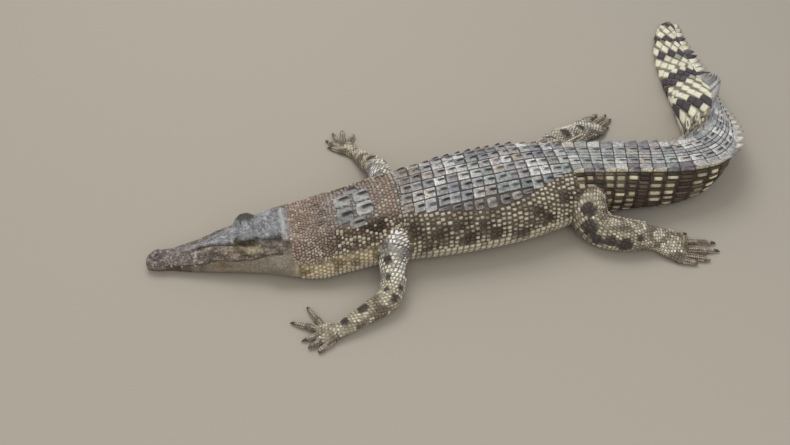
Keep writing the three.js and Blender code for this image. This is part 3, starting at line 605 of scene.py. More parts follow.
def head_hide(along, around, places):
    """Colour of the skin of the head, with painted shade in its grooves and hollows and painted light on its ridges
    and folds.
    """
    middle, _, left = spine_at(along)
    side = np.abs(np.sum((places[..., :2] - TO_ROW[:2] - middle) * left, -1))
    up = places[..., 2]
    fine, small, broad = clouds(places, 1.9, 31), clouds(places, 4.6, 33), clouds(places, 11, 32)
    # Top and sides of the head: partly its own colours and partly painted light, the blue-grey top paler as lit from
    # above, and the browner sides below the ridges and behind the eyes darker as in shade.
    colour = mix(HEAD_MAUVE, HEAD_BLUE, rise(along, 60, 92))
    flank = mix(shade(136, 124, 112), shade(112, 98, 84), rise(broad, 0.4, 0.7))
    flank = mix(shade(132, 118, 112), flank, rise(along, 40, 90))
    off_ridge = side - ridge_side(along)
    below = rise(off_ridge, 0.8, 3.2) * rise(along, 30, 70)
    below = np.maximum(below * (up < EYE_UP + 6), rise(side, 26, 30) * (along > 130))
    colour = mix(colour, flank, below)
    for at, level, half_long, half_high, tone, strength in HEAD_MARKS:
        mark = bell(along - at, half_long) * bell(up - level, half_high) * rise(side, 8, 14)
        colour = mix(colour, tone, strength * mark)
    mouth = mouth_level(along)
    # Cracks and pale crests of the tight skin over the bone.
    upper = rise(up - mouth, 0, 2)
    cracks = bell(small - 0.5, 0.04) * 0.6 + bell(broad - 0.5, 0.025) * 0.5
    colour = mix(colour, colour * 0.4, cracks * upper)
    behind = rise(along, 66, 90) * below
    colour = mix(colour, shade(196, 190, 186), 0.45 * rise(fine, 0.5, 0.8) * upper * (1 - 0.6 * behind))
    # Painted light and shade on the folds of the cheek: paler where a fold stands out and darker between folds,
    # following the relief.
    folds = clouds(np.stack([along * 0.25, side * 0.5, up], -1), 3.0, 5)
    colour = colour * (1 + behind * upper * (1.3 * folds - 0.65))[..., None]
    colour = colour * (0.56 + 0.72 * small)[..., None] * (0.66 + 0.62 * fine)[..., None]
    # The smooth hide of the lower jaw, mottled in front and pale along the bottom.
    jaw = rise(mouth - up, -0.5, 0.8) * (1 - rise(along, 198, 214))
    jaw_hide = mix(shade(142, 130, 112), shade(148, 139, 122), rise(along, 120, 170))
    jaw_hide = jaw_hide * (0.9 + 0.2 * broad)[..., None]
    jaw_hide = mix(jaw_hide, shade(96, 82, 76), 0.8 * (1 - rise(along, 60, 100)) * rise(broad, 0.3, 0.6))
    jaw_hide = mix(jaw_hide, jaw_hide * 0.5, 0.8 * rise(small, 0.64, 0.74) * (1 - rise(along, 90, 130)))
    jaw_hide = mix(jaw_hide, shade(124, 90, 62), 0.8 * bell(along - 104, 6) * bell(up - 19, 5))
    jaw_hide = mix(jaw_hide, shade(196, 188, 170), 0.8 * rise(9 - up, 0, 5) * rise(along, 120, 180))
    colour = mix(colour, jaw_hide, jaw)
    # Dark lines, painted shade in hollows: the groove of the mouth, the nostril slits, the crease round their boss,
    # and the groove under the ridge of the snout.
    line = bell(up - mouth - 0.4, 0.9) * rise(side, 4, 9) * (1 - rise(along, 180, 186))
    colour = mix(colour, shade(60, 49, 40), 0.9 * line)
    slit = nostril_reach(along, side, 3.2, 1.4)
    colour = mix(colour, shade(46, 38, 36), 0.9 * (1 - rise(slit, 0.6, 1.3)) * (up > 18))
    shade_under_ridge = bell(off_ridge - 2.5, 1.4) * rise(along, 46, 80) * (1 - rise(along, 130, 135)) * (up > 18)
    colour = mix(colour, shade(50, 44, 40), 0.95 * shade_under_ridge)
    boss = np.hypot((along - 18) / 10.5, side / 9)
    colour = mix(colour, shade(92, 80, 78), 0.7 * bell(boss - 1, 0.14) * (up > 17))
    # Painted highlight along the crests of the snout's ridges.
    ridge_highlight = bell(off_ridge + 0.4, 1.4) * rise(along, 40, 60) * (1 - rise(along, 126, 134)) * (up > 18)
    colour = mix(colour, shade(190, 186, 184), 0.5 * ridge_highlight)
    # Lids: olive round the eye, pale under it, and dark at their edges, painted shade where they
    # turn in round the eyeball; the right dome is olive all over, and the left one greyer.
    lid = np.where(side > 16, lid_reach(along, up), 9)
    colour = mix(colour, shade(84, 77, 60), 0.9 * (1 - rise(lid, 1.55, 1.95)))
    colour = mix(colour, shade(190, 178, 150), 0.6 * bell(lid - 2.2, 0.2) * rise(EYE_UP - up, 0, 3))
    colour = mix(colour, shade(42, 36, 30), 1 - rise(lid, 0.98, 1.2))
    dome_reach = np.hypot((along - EYE_AT - 1) / 13, (side - 18) / 8)
    dome = (1 - rise(dome_reach, 0.85, 1.05)) * (up > EYE_UP - 2)
    colour = mix(colour, shade(78, 75, 62) * (0.7 + 0.6 * broad)[..., None], 0.95 * dome * (around < 0))
    colour = mix(colour, shade(136, 136, 136), 0.5 * dome * (around > 0))
    # The ear slit, darkened as painted shade under the edge of the skull table, and the pale rim at the back of the
    # skull table.
    ear = bell(up - (through([158, 190], [59.5, 62], along) - 6.5), 1.5) * rise(along, 149, 155)
    colour = mix(colour, shade(48, 41, 38), 0.9 * ear * (1 - rise(along, 186, 190)) * rise(side, 22, 26))
    rim = rise(along, 183, 187) * (1 - rise(along, 190.5, 192.5)) * (side < 31) * (up > 50)
    colour = mix(colour, shade(200, 198, 194), 0.7 * rim * (0.4 + fine))
    return colour * 0.9


# ---------------------------------------------------------------------------
# Skin: one unbroken hide over head, neck, trunk, tail and limbs.  The limbs and
# webs are melted together first, then joined to the body, and the groins smoothed.
SKIN_DEPTH, HEAD_DEPTH, DIGIT_DEPTH = 1.2, 0.25, 0.35
SKIN_CORNERS = 150
WEB_REACH, WEB_SAG, WEB_THICK = 0.8, 0.84, 3.0
GROIN_PASSES = 14


def add_mesh(name, points, faces, sizes=None):
    """A mesh object from places in millimetres, and its faces as rows of corner numbers."""
    mesh = bpy.data.meshes.new(name)
    mesh.vertices.add(len(points))
    mesh.vertices.foreach_set("co", (np.asarray(points, np.float64) * 0.001).astype(np.float32).ravel())
    if sizes is None:
        sizes = np.full(len(faces), faces.shape[1])
        faces = faces.ravel()
    mesh.loops.add(len(faces))
    mesh.loops.foreach_set("vertex_index", np.asarray(faces, np.int32))
    mesh.polygons.add(len(sizes))
    starts = np.concatenate([[0], np.cumsum(sizes)[:-1]])
    mesh.polygons.foreach_set("loop_start", starts.astype(np.int32))
    mesh.polygons.foreach_set("loop_total", np.asarray(sizes, np.int32))
    mesh.update(calc_edges=True)
    mesh.validate()
    made = bpy.data.objects.new(name, mesh)
    bpy.context.collection.objects.link(made)
    return made


def tube_mesh(name, rings):
    """A closed tube: rings of quads, with a flat cap on each end."""
    count, corners = rings.shape[:2]
    i, j = np.meshgrid(np.arange(count - 1), np.arange(corners), indexing="ij")
    k = (j + 1) % corners
    quads = np.stack([i * corners + j, (i + 1) * corners + j, (i + 1) * corners + k, i * corners + k], -1)
    last_cap = np.arange(count * corners - corners, count * corners)[::-1]
    faces = np.concatenate([quads.ravel(), np.arange(corners), last_cap])
    sizes = np.concatenate([np.full(i.size, 4), [corners, corners]])
    return add_mesh(name, rings.reshape(-1, 3), faces, sizes)


def only(made):
    bpy.ops.object.select_all(action="DESELECT")
    made.select_set(True)
    bpy.context.view_layer.objects.active = made


def joined(parts):
    only(parts[0])
    for part in parts[1:]:
        part.select_set(True)
    bpy.ops.object.join()
    return parts[0]


def apply_modifier(made, kind, **settings):
    only(made)
    modifier = made.modifiers.new(kind.title(), kind)
    for key, value in settings.items():
        setattr(modifier, key, value)
    bpy.ops.object.modifier_apply(modifier=modifier.name)


def face_outward(made):
    only(made)
    bpy.ops.object.mode_set(mode="EDIT")
    bpy.ops.mesh.select_all(action="SELECT")
    bpy.ops.mesh.remove_doubles(threshold=1e-6)
    bpy.ops.mesh.normals_make_consistent(inside=False)
    bpy.ops.object.mode_set(mode="OBJECT")


def skin_depth(along):
    """How deep the hide lies under the form: the thickness of the scales over it."""
    full = HEAD_DEPTH + (SKIN_DEPTH - HEAD_DEPTH) * rise(along, 186, 214)
    return np.minimum(full, 0.22 * station(HALF_WIDTH, along))


def finder(places):
    """A tree that finds the nearest of some places."""
    tree = KDTree(len(places))
    for index, place in enumerate(places):
        tree.insert(place, index)
    tree.balance()
    return tree


# More corners lie near the eyes, where the lids are.
fraction = np.linspace(0, 1, 4001)
weight = 1 + 2.2 * (bell(fraction - 0.155, 0.05) + bell(fraction - 0.845, 0.05))
corner_reach = np.concatenate([[0], np.cumsum((weight[1:] + weight[:-1]) / 2)])
crowded = np.interp(np.arange(SKIN_CORNERS) / SKIN_CORNERS * corner_reach[-1], corner_reach, fraction)
even = np.arange(SKIN_CORNERS) / SKIN_CORNERS
skin_along = np.concatenate([
    [0.03, 0.2, 0.6, 1.2, 2.0, 3.0], np.arange(4, 118, 1.05), np.arange(118, 160, 0.65),
    np.arange(160, 214, 1.05), np.arange(214, TAIL_TIP - 2, 5.4), [TAIL_TIP],
])
on_head = (1 - rise(skin_along, 214, 300))[:, None]
shares = crowded * on_head + even * (1 - on_head)
places, normals = body.place(skin_along[:, None], shares * body.girth(skin_along)[:, None])
skin_rings = places - normals * skin_depth(skin_along)[:, None, None]
skin_rings[..., 2] = np.maximum(skin_rings[..., 2], 0.3)
skin = tube_mesh("hide", skin_rings)
face_outward(skin)

# Places whose colour is known: those of the body are darkened to painted shade in the grooves
# between scales, less so on the light neck, the belly and the straw-coloured end of the tail.
sample_places = [skin_rings.reshape(-1, 3)]
around = shares * body.girth(skin_along)[:, None]
around = np.where(shares > 0.5, around - body.girth(skin_along)[:, None], around)
along_all = np.broadcast_to(skin_along[:, None], around.shape)
share = girth_share(along_all, around)
neck_side = rise(share, 0.18, 0.3) * (1 - rise(share, 0.38, 0.46))
light_neck = (1 - rise(along_all, 330, 350)) * (1 - 0.7 * neck_side)
hide_with_groove_shade = mix(body_hide(along_all, around, places), NIGHT_BROWN, 0.86 - 0.46 * light_neck)
hide_with_groove_shade = mix(hide_with_groove_shade, BELLY_CREAM * 0.5, 0.7 * rise(share, 0.5, 0.62) * (along_all < 600))
hide_with_groove_shade = mix(hide_with_groove_shade, STRAW * 0.3, 0.6 * rise(along_all, 900, 960))
hide_with_groove_shade = mix(head_hide(along_all, around, places), hide_with_groove_shade, rise(along_all, 190, 200))
sample_colours = [hide_with_groove_shade.reshape(-1, 3)]

for name, limb in LIMBS.items():
    parts = [tube_mesh(name, tube_rings(limb["rows"], 1.6, 64)[1])]
    for number in range(DIGITS):
        form = digit_forms[name, number]
        rings = form.rings[::2, ::4] - form.normals[::2, ::4] * DIGIT_DEPTH
        parts.append(tube_mesh(name + "_digit", rings))
    if "hind" in name:
        for first, second in zip(limb["digits"], limb["digits"][1:]):
            corners = []
            for digit, reach in ((first, -0.1), (first, WEB_REACH), (second, WEB_REACH), (second, -0.1)):
                base, tip = ends_of(digit)
                corners.append(base + (tip - base) * reach)
            edge, root = (corners[1] + corners[2]) / 2, (corners[0] + corners[3]) / 2
            outline = np.array([*corners[:2], edge * WEB_SAG + root * (1 - WEB_SAG), *corners[2:]])
            slab = np.stack([np.column_stack([outline, np.full(5, z)]) for z in (0.0, WEB_THICK)]) + TO_ROW
            parts.append(tube_mesh(name + "_web", slab))
    for part in parts:
        face_outward(part)
    flesh = joined(parts)
    apply_modifier(flesh, "REMESH", mode="VOXEL", voxel_size=0.0011)
    apply_modifier(flesh, "SMOOTH", factor=0.5, iterations=3)
    apply_modifier(flesh, "DECIMATE", ratio=0.2)
    apply_modifier(skin, "BOOLEAN", object=flesh, operation="UNION", solver="EXACT")
    bpy.data.objects.remove(flesh)
    found = [limb_forms[name].rings[::3, ::10].reshape(-1, 3)]
    found += [digit_forms[name, number].rings[::3, ::8].reshape(-1, 3) for number in range(DIGITS)]
    found = np.concatenate(found)
    sample_places.append(found)
    # The hide between the limbs' scales is darkened too: painted shade in the gaps.
    sample_colours.append(mix(limb_hide(found), NIGHT_BROWN, 0.62 if "hind" in name else 0.55))

# Groins and armpits, where a limb meets the body, are smoothed by a few passes.
mesh = skin.data
count = len(mesh.vertices)
points = np.empty(count * 3, np.float32)
mesh.vertices.foreach_get("co", points)
points = points.reshape(-1, 3).astype(float) * 1000
edges = np.empty(len(mesh.edges) * 2, np.int32)
mesh.edges.foreach_get("vertices", edges)
edges = edges.reshape(-1, 2)
body_finder = finder(sample_places[0])
gap = np.array([body_finder.find(place)[2] for place in points])
limb_root = np.zeros(count)
for name, limb in LIMBS.items():
    root = np.array(limb["rows"][1][:3], float) + TO_ROW
    limb_root = np.maximum(limb_root, 1 - rise(np.linalg.norm(points - root, axis=1), 32, 48))
blend = limb_root * (1 - rise(gap, 6, 12))
degree = np.bincount(edges.ravel(), minlength=count)[:, None]
for _ in range(GROIN_PASSES):
    total = np.zeros_like(points)
    for axis in range(3):
        total[:, axis] = (np.bincount(edges[:, 0], points[edges[:, 1], axis], count)
                          + np.bincount(edges[:, 1], points[edges[:, 0], axis], count))
    points += (total / degree - points) * (0.55 * blend)[:, None]
mesh.vertices.foreach_set("co", (points * 0.001).astype(np.float32).ravel())

# Colour of each place of the hide, from the nearest place whose colour is known.
colour_finder = finder(np.concatenate(sample_places))
nearest = np.array([colour_finder.find(place)[1] for place in points])


def set_colours(made, colours):
    """Gives each corner of a mesh its colour."""
    layer = made.data.color_attributes.new("hide_colour", "FLOAT_COLOR", "POINT")
    colours = np.column_stack([colours, np.ones(len(colours))])
    layer.data.foreach_set("color", colours.astype(np.float32).ravel())


DARKEST, PALEST = 0.004, 0.9
set_colours(skin, np.clip(np.concatenate(sample_colours)[nearest], DARKEST, PALEST))
only(skin)
bpy.ops.object.shade_smooth()


class Finish:
    """A material in the making: a shader, places on the object, and nodes fed by either."""

    def __init__(self, name):
        self.material = bpy.data.materials.new(name)
        self.material.use_nodes = True
        self.tree = self.material.node_tree
        self.shader = self.tree.nodes["Principled BSDF"]
        self.where = self.node("TexCoord").outputs["Object"]

    def feed(self, node, sockets):
        """Each socket takes a plain value, or the output of another node."""
        for key, value in sockets.items():
            if isinstance(value, bpy.types.NodeSocket):
                self.tree.links.new(value, node.inputs[key])
            else:
                node.inputs[key].default_value = value

    def node(self, kind, sockets=None, **settings):
        made = self.tree.nodes.new("ShaderNode" + kind)
        for key, value in settings.items():
            setattr(made, key, value)
        self.feed(made, sockets or {})
        return made


def hide_finish(name, roughness, grain, bump):
    """Reptile hide: its own colour, fine grain, and creases too small to model."""
    finish = Finish(name)
    colour = finish.node("Attribute", attribute_name="hide_colour").outputs["Color"]
    dust = finish.node("TexNoise", {"Vector": finish.where, "Scale": 420, "Detail": 5}).outputs["Fac"]
    tone = finish.node("MapRange", {"Value": dust, "From Min": 0.3, "From Max": 0.7,
                                    "To Min": 1 - grain, "To Max": 1 + grain})
    dusty = finish.node("VectorMath", {0: colour, "Scale": tone.outputs["Result"]}, operation="SCALE")
    gloss = finish.node("MapRange", {"Value": dust, "To Min": roughness - 0.12, "To Max": roughness + 0.12})
    creases = finish.node("TexVoronoi", {"Vector": finish.where, "Scale": 620}, feature="DISTANCE_TO_EDGE")
    depth = finish.node("MapRange", {"Value": creases.outputs["Distance"], "From Max": 0.25})
    both = finish.node("Math", {0: depth.outputs["Result"], 1: 0.5, 2: dust}, operation="MULTIPLY_ADD")
    relief = finish.node("Bump", {"Height": both.outputs["Value"], "Strength": bump, "Distance": 0.0006})
    finish.feed(finish.shader, {
        "Base Color": dusty.outputs["Vector"], "Roughness": gloss.outputs["Result"],
        "Normal": relief.outputs["Normal"], "Specular IOR Level": 0.35,
    })
    return finish.material


skin.data.materials.append(hide_finish("hide_skin", 0.62, 0.32, 0.9))
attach(skin, "root")
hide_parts("head", "lower_jaw", "neck", "trunk", "tail_1", "tail_2", "tail_3", "tail_4",
            *[f"{limb}_{part}" for limb in ("left_fore", "right_fore") for part in ("upper_arm", "forearm", "hand")],
            *[f"{limb}_{part}" for limb in ("left_hind", "right_hind") for part in ("thigh", "shank", "foot")])

# ---------------------------------------------------------------------------
# Scales: horny plates over bone, each its own closed shell bedded in the hide.
# A plate is a small grid bowed over the body, its rim sunk into the skin.
# Half the size of a plate's patch on the unwrap, and the part of the unwrap's height
# that the body has; the limbs and digits have strips above it.
PATCH_HALF = 0.0015
BODY_STRIP = (0, 0.8)
# Rows and columns of the grids: a plain scale, a keeled plate, and a blade's columns.
SMALL = np.array([-1, -0.55, 0.55, 1])
KEEL_ROWS = np.array([-1, -0.86, -0.55, -0.1, 0.4, 0.75, 0.88, 1])
KEEL_COLUMNS = np.array([-1, -0.88, -0.62, -0.36, -0.18, 0, 0.18, 0.36, 0.62, 0.88, 1])
BLADE_COLUMNS = np.array([-1, -0.6, -0.25, 0, 0.25, 0.6, 1])
# How tall and how dark-topped a keel is, across it and along it; the dark top is partly the keel's own dark horn and
# partly painted shade on its shaded side.
KEEL_ACROSS = ([0, 0.18, 0.36, 0.6], [1, 0.55, 0.12, 0])
KEEL_ALONG = ([-1, -0.6, 0.2, 0.75, 1], [0, 0.5, 0.9, 1, 0.1])
MARK_ACROSS, MARK_ALONG = ([0, 0.2, 0.37], [1, 1, 0]), ([-1, -0.56, -0.1, 0.85, 1], [0, 0, 1, 1, 0])
# A keel taller than this is a crest blade; and how far below the hide a plate's root lies.
BLADE_KEEL, ROOT_DEPTH = 6, 0.5


class Coat:
    """Plates gathered for one piece of the coat."""

    def __init__(self, name, slot, finish):
        self.name, self.slot, self.finish = name, slot, finish
        self.points, self.faces, self.sizes, self.colours, self.patches = [], [], [], [], []
        self.count = 0

    def lay(self, form, plates, lengthways=SMALL, sideways=SMALL, unwrap=BODY_STRIP,
            crown=0.0, diamond=False, edge_shade=0.5, rim_highlight=1.0):
        """Adds plates, rows as plates_of makes them, each a grid of lengthways by sideways
        places.  A plate's colour is darkened at its edge, painted shade where it dips into the gap
        between plates, and lightened in a ring just inside the edge, a painted highlight; the last
        two arguments give these amounts."""
        along, around, half_long, half_wide, turn, top, rim, keel, roundness, flare = (
            plates[:, k][:, None, None] for k in range(10))
        u, v = np.meshgrid(lengthways, sideways, indexing="ij")
        edge = (np.abs(u) == 1) | (np.abs(v) == 1)
        inner = ~edge & ((np.abs(u) > 0.82) | (np.abs(v) > 0.82))
        outer = ((1 + v * np.sign(around)) / 2) ** 1.5 * ~edge
        ridge = np.interp(np.abs(v), *KEEL_ACROSS) * np.interp(u, *KEEL_ALONG)
        mark = np.interp(np.abs(v), *MARK_ACROSS) * np.interp(u, *MARK_ALONG)
        mark = np.where(keel > BLADE_KEEL, rise(ridge, 0.25, 0.55), mark)
        local_u = u * np.sqrt(1 - roundness * v * v / 2)
        local_v = v * np.sqrt(1 - roundness * u * u / 2)
        if diamond:
            local_u, local_v = (local_u + local_v) / 2, (local_v - local_u) / 2
        height = np.where(edge, rim, top - crown * (u * u + v * v)) + keel * ridge + flare * outer
        height = height + 0.12 * top * u
        # Painted light: each plate is darker at its edge, as shade in the gap, and lighter in a ring inside the
        # edge, as a highlight.
        tone = np.where(edge, edge_shade, np.where(inner, rim_highlight, 1.0)) * np.ones_like(height)
        rows, columns = u.shape
        index = np.arange(rows * columns).reshape(rows, columns)
        loop = np.concatenate([index[0, :-1], index[:-1, -1], index[-1, :0:-1], index[:0:-1, 0]])
        skirt = len(loop)

        def laid_out(grid, rest=None):
            """The grid's values, then those of the plate's root: rest, or as at the rim."""
            grid = (grid * np.ones_like(height)).reshape(len(plates), -1)
            root = grid[:, loop] if rest is None else np.full((len(plates), skirt), rest)
            return np.concatenate([grid, root], 1)

        flat_u, flat_v = laid_out(local_u), laid_out(local_v)
        flat_height = laid_out(height, -SKIN_DEPTH - ROOT_DEPTH)
        lean_out = laid_out(0.35 * flare * outer * np.sign(around), 0)
        du, dv = flat_u * half_long[:, :, 0], flat_v * half_wide[:, :, 0]
        cosine, sine = np.cos(turn[:, :, 0]), np.sin(turn[:, :, 0])
        s = along[:, :, 0] + du * cosine - dv * sine
        a = around[:, :, 0] + du * sine + dv * cosine + lean_out
        places, normals = form.place(slanted(s, a) if form is body else s, a)
        points = places + normals * flat_height[..., None]
        points[..., 2] = np.maximum(points[..., 2], 0.15)
        faces = np.stack([index[:-1, :-1], index[1:, :-1], index[1:, 1:], index[:-1, 1:]], -1).reshape(-1, 4)
        under = rows * columns + np.arange(skirt)
        sides = np.stack([loop, np.roll(loop, -1), np.roll(under, -1), under], -1)
        single = np.concatenate([faces.ravel(), sides.ravel(), under])
        size = np.concatenate([np.full(len(faces) + len(sides), 4), [skirt]])
        per = rows * columns + skirt
        offsets = self.count + per * np.arange(len(plates))
        self.faces.append((single[None, :] + offsets[:, None]).ravel())
        self.sizes.append(np.tile(size, len(plates)))
        self.points.append(points.reshape(-1, 3))
        colour = mix(plates[:, None, 10:13], plates[:, None, 13:16], laid_out(mark * (keel > 0), 0))
        speckle = 0.5 + clouds(points, 2.2, 51) if rows > 4 else 1.0
        # The plate's root is darkened to 0.35 of its colour: painted shade under the plate.
        colour = colour * (laid_out(tone, 0.35) * speckle)[..., None]
        self.colours.append(colour.reshape(-1, 3))
        low, high = unwrap
        centre = np.stack([plates[:, 0] / form.along[-1],
                           low + (high - low) * ((plates[:, 1] / form.girth(plates[:, 0])) % 1)], -1)
        patch = centre[:, None] * 0.99 + 0.005 + np.stack([flat_u, flat_v], -1) * PATCH_HALF
        self.patches.append(patch.reshape(-1, 2))
        self.count += per * len(plates)

    def build(self):
        points, faces = np.concatenate(self.points), np.concatenate(self.faces)
        made = add_mesh(self.name, points, faces, np.concatenate(self.sizes))
        set_colours(made, np.clip(np.concatenate(self.colours), DARKEST, PALEST))
        layer = made.data.uv_layers.new(name="OFBake")
        corners = np.empty(len(made.data.loops), np.int32)
        made.data.loops.foreach_get("vertex_index", corners)
        layer.data.foreach_set("uv", np.concatenate(self.patches)[corners].astype(np.float32).ravel())
        face_outward(made)
        bpy.ops.object.shade_smooth()
        made.data.materials.append(self.finish)
        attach(made, "root")


horn_finish = hide_finish("horn_plates", 0.6, 0.32, 0.9)
scale_finish = hide_finish("scales", 0.55, 0.28, 0.7)
draw = np.random.default_rng(7)


def plates_of(along, around, half_long, half_wide, colours, turn=0.0, top=0.35, rim=-0.5, keel=0.0,
              roundness=0.5, flare=0.0, tips=None):
    """Rows of plates: where, how large, how they stand, their colour and that of their keels."""
    columns = [np.broadcast_to(np.asarray(v, float), (len(along),)) for v in
               (along, around, half_long, half_wide, turn, top, rim, keel, roundness, flare)]
    # By default a keel's top is 0.13 of its plate's colour: dark horn, and painted shade on the keel's shaded side.
    return np.column_stack([*columns, colours, colours * 0.13 if tips is None else tips])


def varied(colours, amount):
    return colours * (1 + amount * (draw.random((len(colours), 1)) - 0.5) * 2)


def toned(tone, count, amount):
    """The same colour for a number of plates, each a little lighter or darker."""
    return varied(np.tile(tone, (count, 1)), amount)


def body_places(rows):
    return body.place(slanted(rows[:, 0], rows[:, 1]), rows[:, 1])[0]


def body_colours(rows):
    return body_hide(rows[:, 0], rows[:, 1], body_places(rows))


# ---------------------------------------------------------------------------
# Back armour: cross rows of square bony plates, each with a low keel, packed edge
# to edge from the shoulders to the hips, eight abreast at the widest.
armour = Coat("back_armour", "hide_back", horn_finish)
ARMOUR_ROWS, ARMOUR_START, ARMOUR_END = 15, 354.5, 584.3
ARMOUR_COLUMNS = (0, 16.6, 33.4, 49.5)
rows = []
for along in np.linspace(ARMOUR_START, ARMOUR_END, ARMOUR_ROWS):
    edge = float(armour_edge(along))
    bounds = [bound for bound in ARMOUR_COLUMNS if bound < edge - 6] + [edge]
    for side in (-1, 1):
        for inner, outer in zip(bounds, bounds[1:]):
            half = (outer - inner) / 2 * (1 - 0.08 * draw.random())
            rows.append((along + draw.normal(0, 0.8), side * (inner + outer) / 2, half, inner > 45))
rows = np.array(rows, float)
# The outermost plates, where the armour is widest, are smaller, rounder and browner.
last = rows[:, 3] > 0
colours = varied(slate(body_places(rows)), 0.17)
colours = mix(colours, shade(136, 122, 112), 0.6 * (1 - rise(rows[:, 0], 352, 390)))
colours[last] = mix(colours[last], shade(118, 104, 98), 0.6)
# Keel tops darker than their plates: partly dark horn, partly painted shade on the keels' shaded sides.
keel_colours = colours * (0.07 + 0.4 * draw.random((len(rows), 1)) ** 2)
plates = plates_of(
    rows[:, 0], rows[:, 1], np.where(last, 6.6, 7.85), rows[:, 2] - np.where(last, 1.6, 0.4), colours,
    top=0.8, rim=-0.2, keel=2.4 + 1.4 * draw.random(len(rows)), roundness=0.1 + 0.3 * last,
    turn=draw.normal(0, 0.04, len(rows)), tips=keel_colours)
armour.lay(body, plates, KEEL_ROWS, KEEL_COLUMNS, crown=0.3, edge_shade=0.54, rim_highlight=1.25)

# ---------------------------------------------------------------------------
# Nape: six big keeled shields in a cluster on the neck, and a lone keeled scale
# ahead of them, standing in small round scales.
# Each shield: distance along, distance round, half length, half width.
BIG_SHIELDS = 6
shields = np.array([
    (269, -3, 12, 11.4), (270, 23, 11.6, 11.6), (295, -3, 11.4, 10.8), (296, 20.5, 11.6, 10.6),
    (284, 39, 10.5, 7), (283, -19, 10.5, 6.6), (236, 21, 6, 3.6), (234, -12, 5.4, 3.4), (240, 5, 5, 3.2),
])
big = np.arange(len(shields)) < BIG_SHIELDS
colours = toned(shade(168, 166, 163), len(shields), 0.2)
colours[~big] = shade(128, 114, 106)
# The shields' keels are darkened too, partly dark horn and partly painted shade.
plates = plates_of(
    *shields.T, colours, top=np.where(big, 1.5, 0.9), rim=-0.3, keel=np.where(big, 4.6, 1.8),
    tips=colours * np.where(big, 0.12, 0.5)[:, None])
armour.lay(body, plates, KEEL_ROWS, KEEL_COLUMNS, crown=0.6, edge_shade=0.55, rim_highlight=1.12)


def grid_over(start, end, pitch_along, low, high, pitch_round, jitter, stagger=0.5):
    """Places in cross rows on both sides of the body, from low to high down the side; with
    each, how far apart those of its row are.  low and high are lengths, or give one."""
    found = []
    for row, along in enumerate(np.arange(start, end, pitch_along)):
        near, far = (float(edge(along)) if callable(edge) else edge for edge in (low, high))
        count = max(1, int(round((far - near) / pitch_round)))
        step = (far - near) / count
        for side, column in product((-1, 1), range(count)):
            found.append((along, side * (near + step * (column + 0.25 + (row % 2) * stagger)), step))
    found = np.array(found)
    found[:, :2] += draw.normal(0, jitter, (len(found), 2))
    return found


def round_share(share):
    """Gives the distance round that is this share of the body's girth."""
    return lambda along: share * body.girth(along)


neck = Coat("neck_scales", "hide_side", scale_finish)
# Small round scales of the nape and the sides of the neck, some of them pale.
for start, end, pitch in ((197, 252, 3.9), (252, 347, 5.2)):
    cells = grid_over(start, end, pitch, 0.0, round_share(0.22), pitch * 1.03, 0.6)
    keep = np.ones(len(cells), bool)
    for along, around, half_long, half_wide in shields:
        off = np.hypot((cells[:, 0] - along) / (half_long + 1), (cells[:, 1] - around) / (half_wide + 1))
        keep &= off > 1
    cells = cells[keep]
    size = pitch * (0.36 + 0.18 * draw.random(len(cells)))
    colours = varied(body_colours(cells), 0.2)
    share = girth_share(cells[:, 0], cells[:, 1])
    chance = 0.08 + 0.4 * rise(share, 0.2, 0.3) * rise(cells[:, 0], 240, 262)
    chance = chance + 0.2 * rise(cells[:, 0], 305, 320)
    spotted = draw.random(len(cells)) < chance
    colours[spotted] = toned(CREAM * 0.85, spotted.sum(), 0.2)
    neck.lay(body, plates_of(*cells[:, :2].T, size, size * 1.02, colours,
                             top=0.2 + 0.6 * draw.random(len(cells)), rim=-0.8, roundness=0.9), edge_shade=0.7)
# Fine scales that thin out over the jaw muscles.
cells = grid_over(181, 197, 3.5, round_share(0.17), round_share(0.27), 3.7, 0.5)
cells = cells[draw.random(len(cells)) < rise(cells[:, 0], 174, 194)]
colours = varied(head_hide(cells[:, 0], cells[:, 1], body_places(cells)) * 1.25, 0.25)
neck.lay(body, plates_of(*cells[:, :2].T, 1.4, 1.3, colours, top=0.25, rim=-0.8, roundness=0.9), edge_shade=0.7)
# Neat cross rows of the throat.
cells = grid_over(205, 346, 5.6, round_share(0.225), round_share(0.5), 5.4, 0.3, 0.4)
colours = varied(body_colours(cells), 0.14)
neck.lay(body, plates_of(*cells[:, :2].T, 2.55, cells[:, 2] * 0.45, colours, top=0.1, rim=-0.8), edge_shade=0.62)
neck.build()

# ---------------------------------------------------------------------------
# Flanks and belly: oval scales set apart in dark skin on the flank, closing up to
# neat cross rows of smooth oblong scales towards the belly.
flank = Coat("flank_scales", "hide_side", scale_finish)
cells = grid_over(350.4, 597, 7.2, lambda along: armour_edge(along) + 1, round_share(0.27), 6.4, 0.5, 0.2)
colours = varied(body_colours(cells), 0.16)
brown = draw.random(len(cells)) < 0.22
colours[brown] = mix(colours[brown], shade(104, 88, 70), 0.75)
size = 0.78 + 0.3 * draw.random(len(cells))
flank.lay(body, plates_of(*cells[:, :2].T, 3.2 * size, 2.5 * size, colours,
                          top=0.3 + 0.6 * draw.random(len(cells)), rim=-0.8, roundness=0.7), edge_shade=0.5)
cells = grid_over(347, 599, 8.2, round_share(0.273), round_share(0.5), 8.0, 0.12, 0.0)
colours = varied(body_colours(cells) * 1.14, 0.14)
flank.lay(body, plates_of(*cells[:, :2].T, 3.8, cells[:, 2] * 0.45, colours, top=0.0, rim=-0.75, roundness=0.2),
          edge_shade=0.45)
flank.build()

# ---------------------------------------------------------------------------
# Tail: forty whorls.  Each has flat keeled plates on top between two rows of crest
# blades, which meet as one row towards the tip, and long barred scales on the sides.
tail = Coat("tail_scales", "hide_side", scale_finish)
crest = Coat("tail_crest", "hide_back", horn_finish)
WHORLS = 40
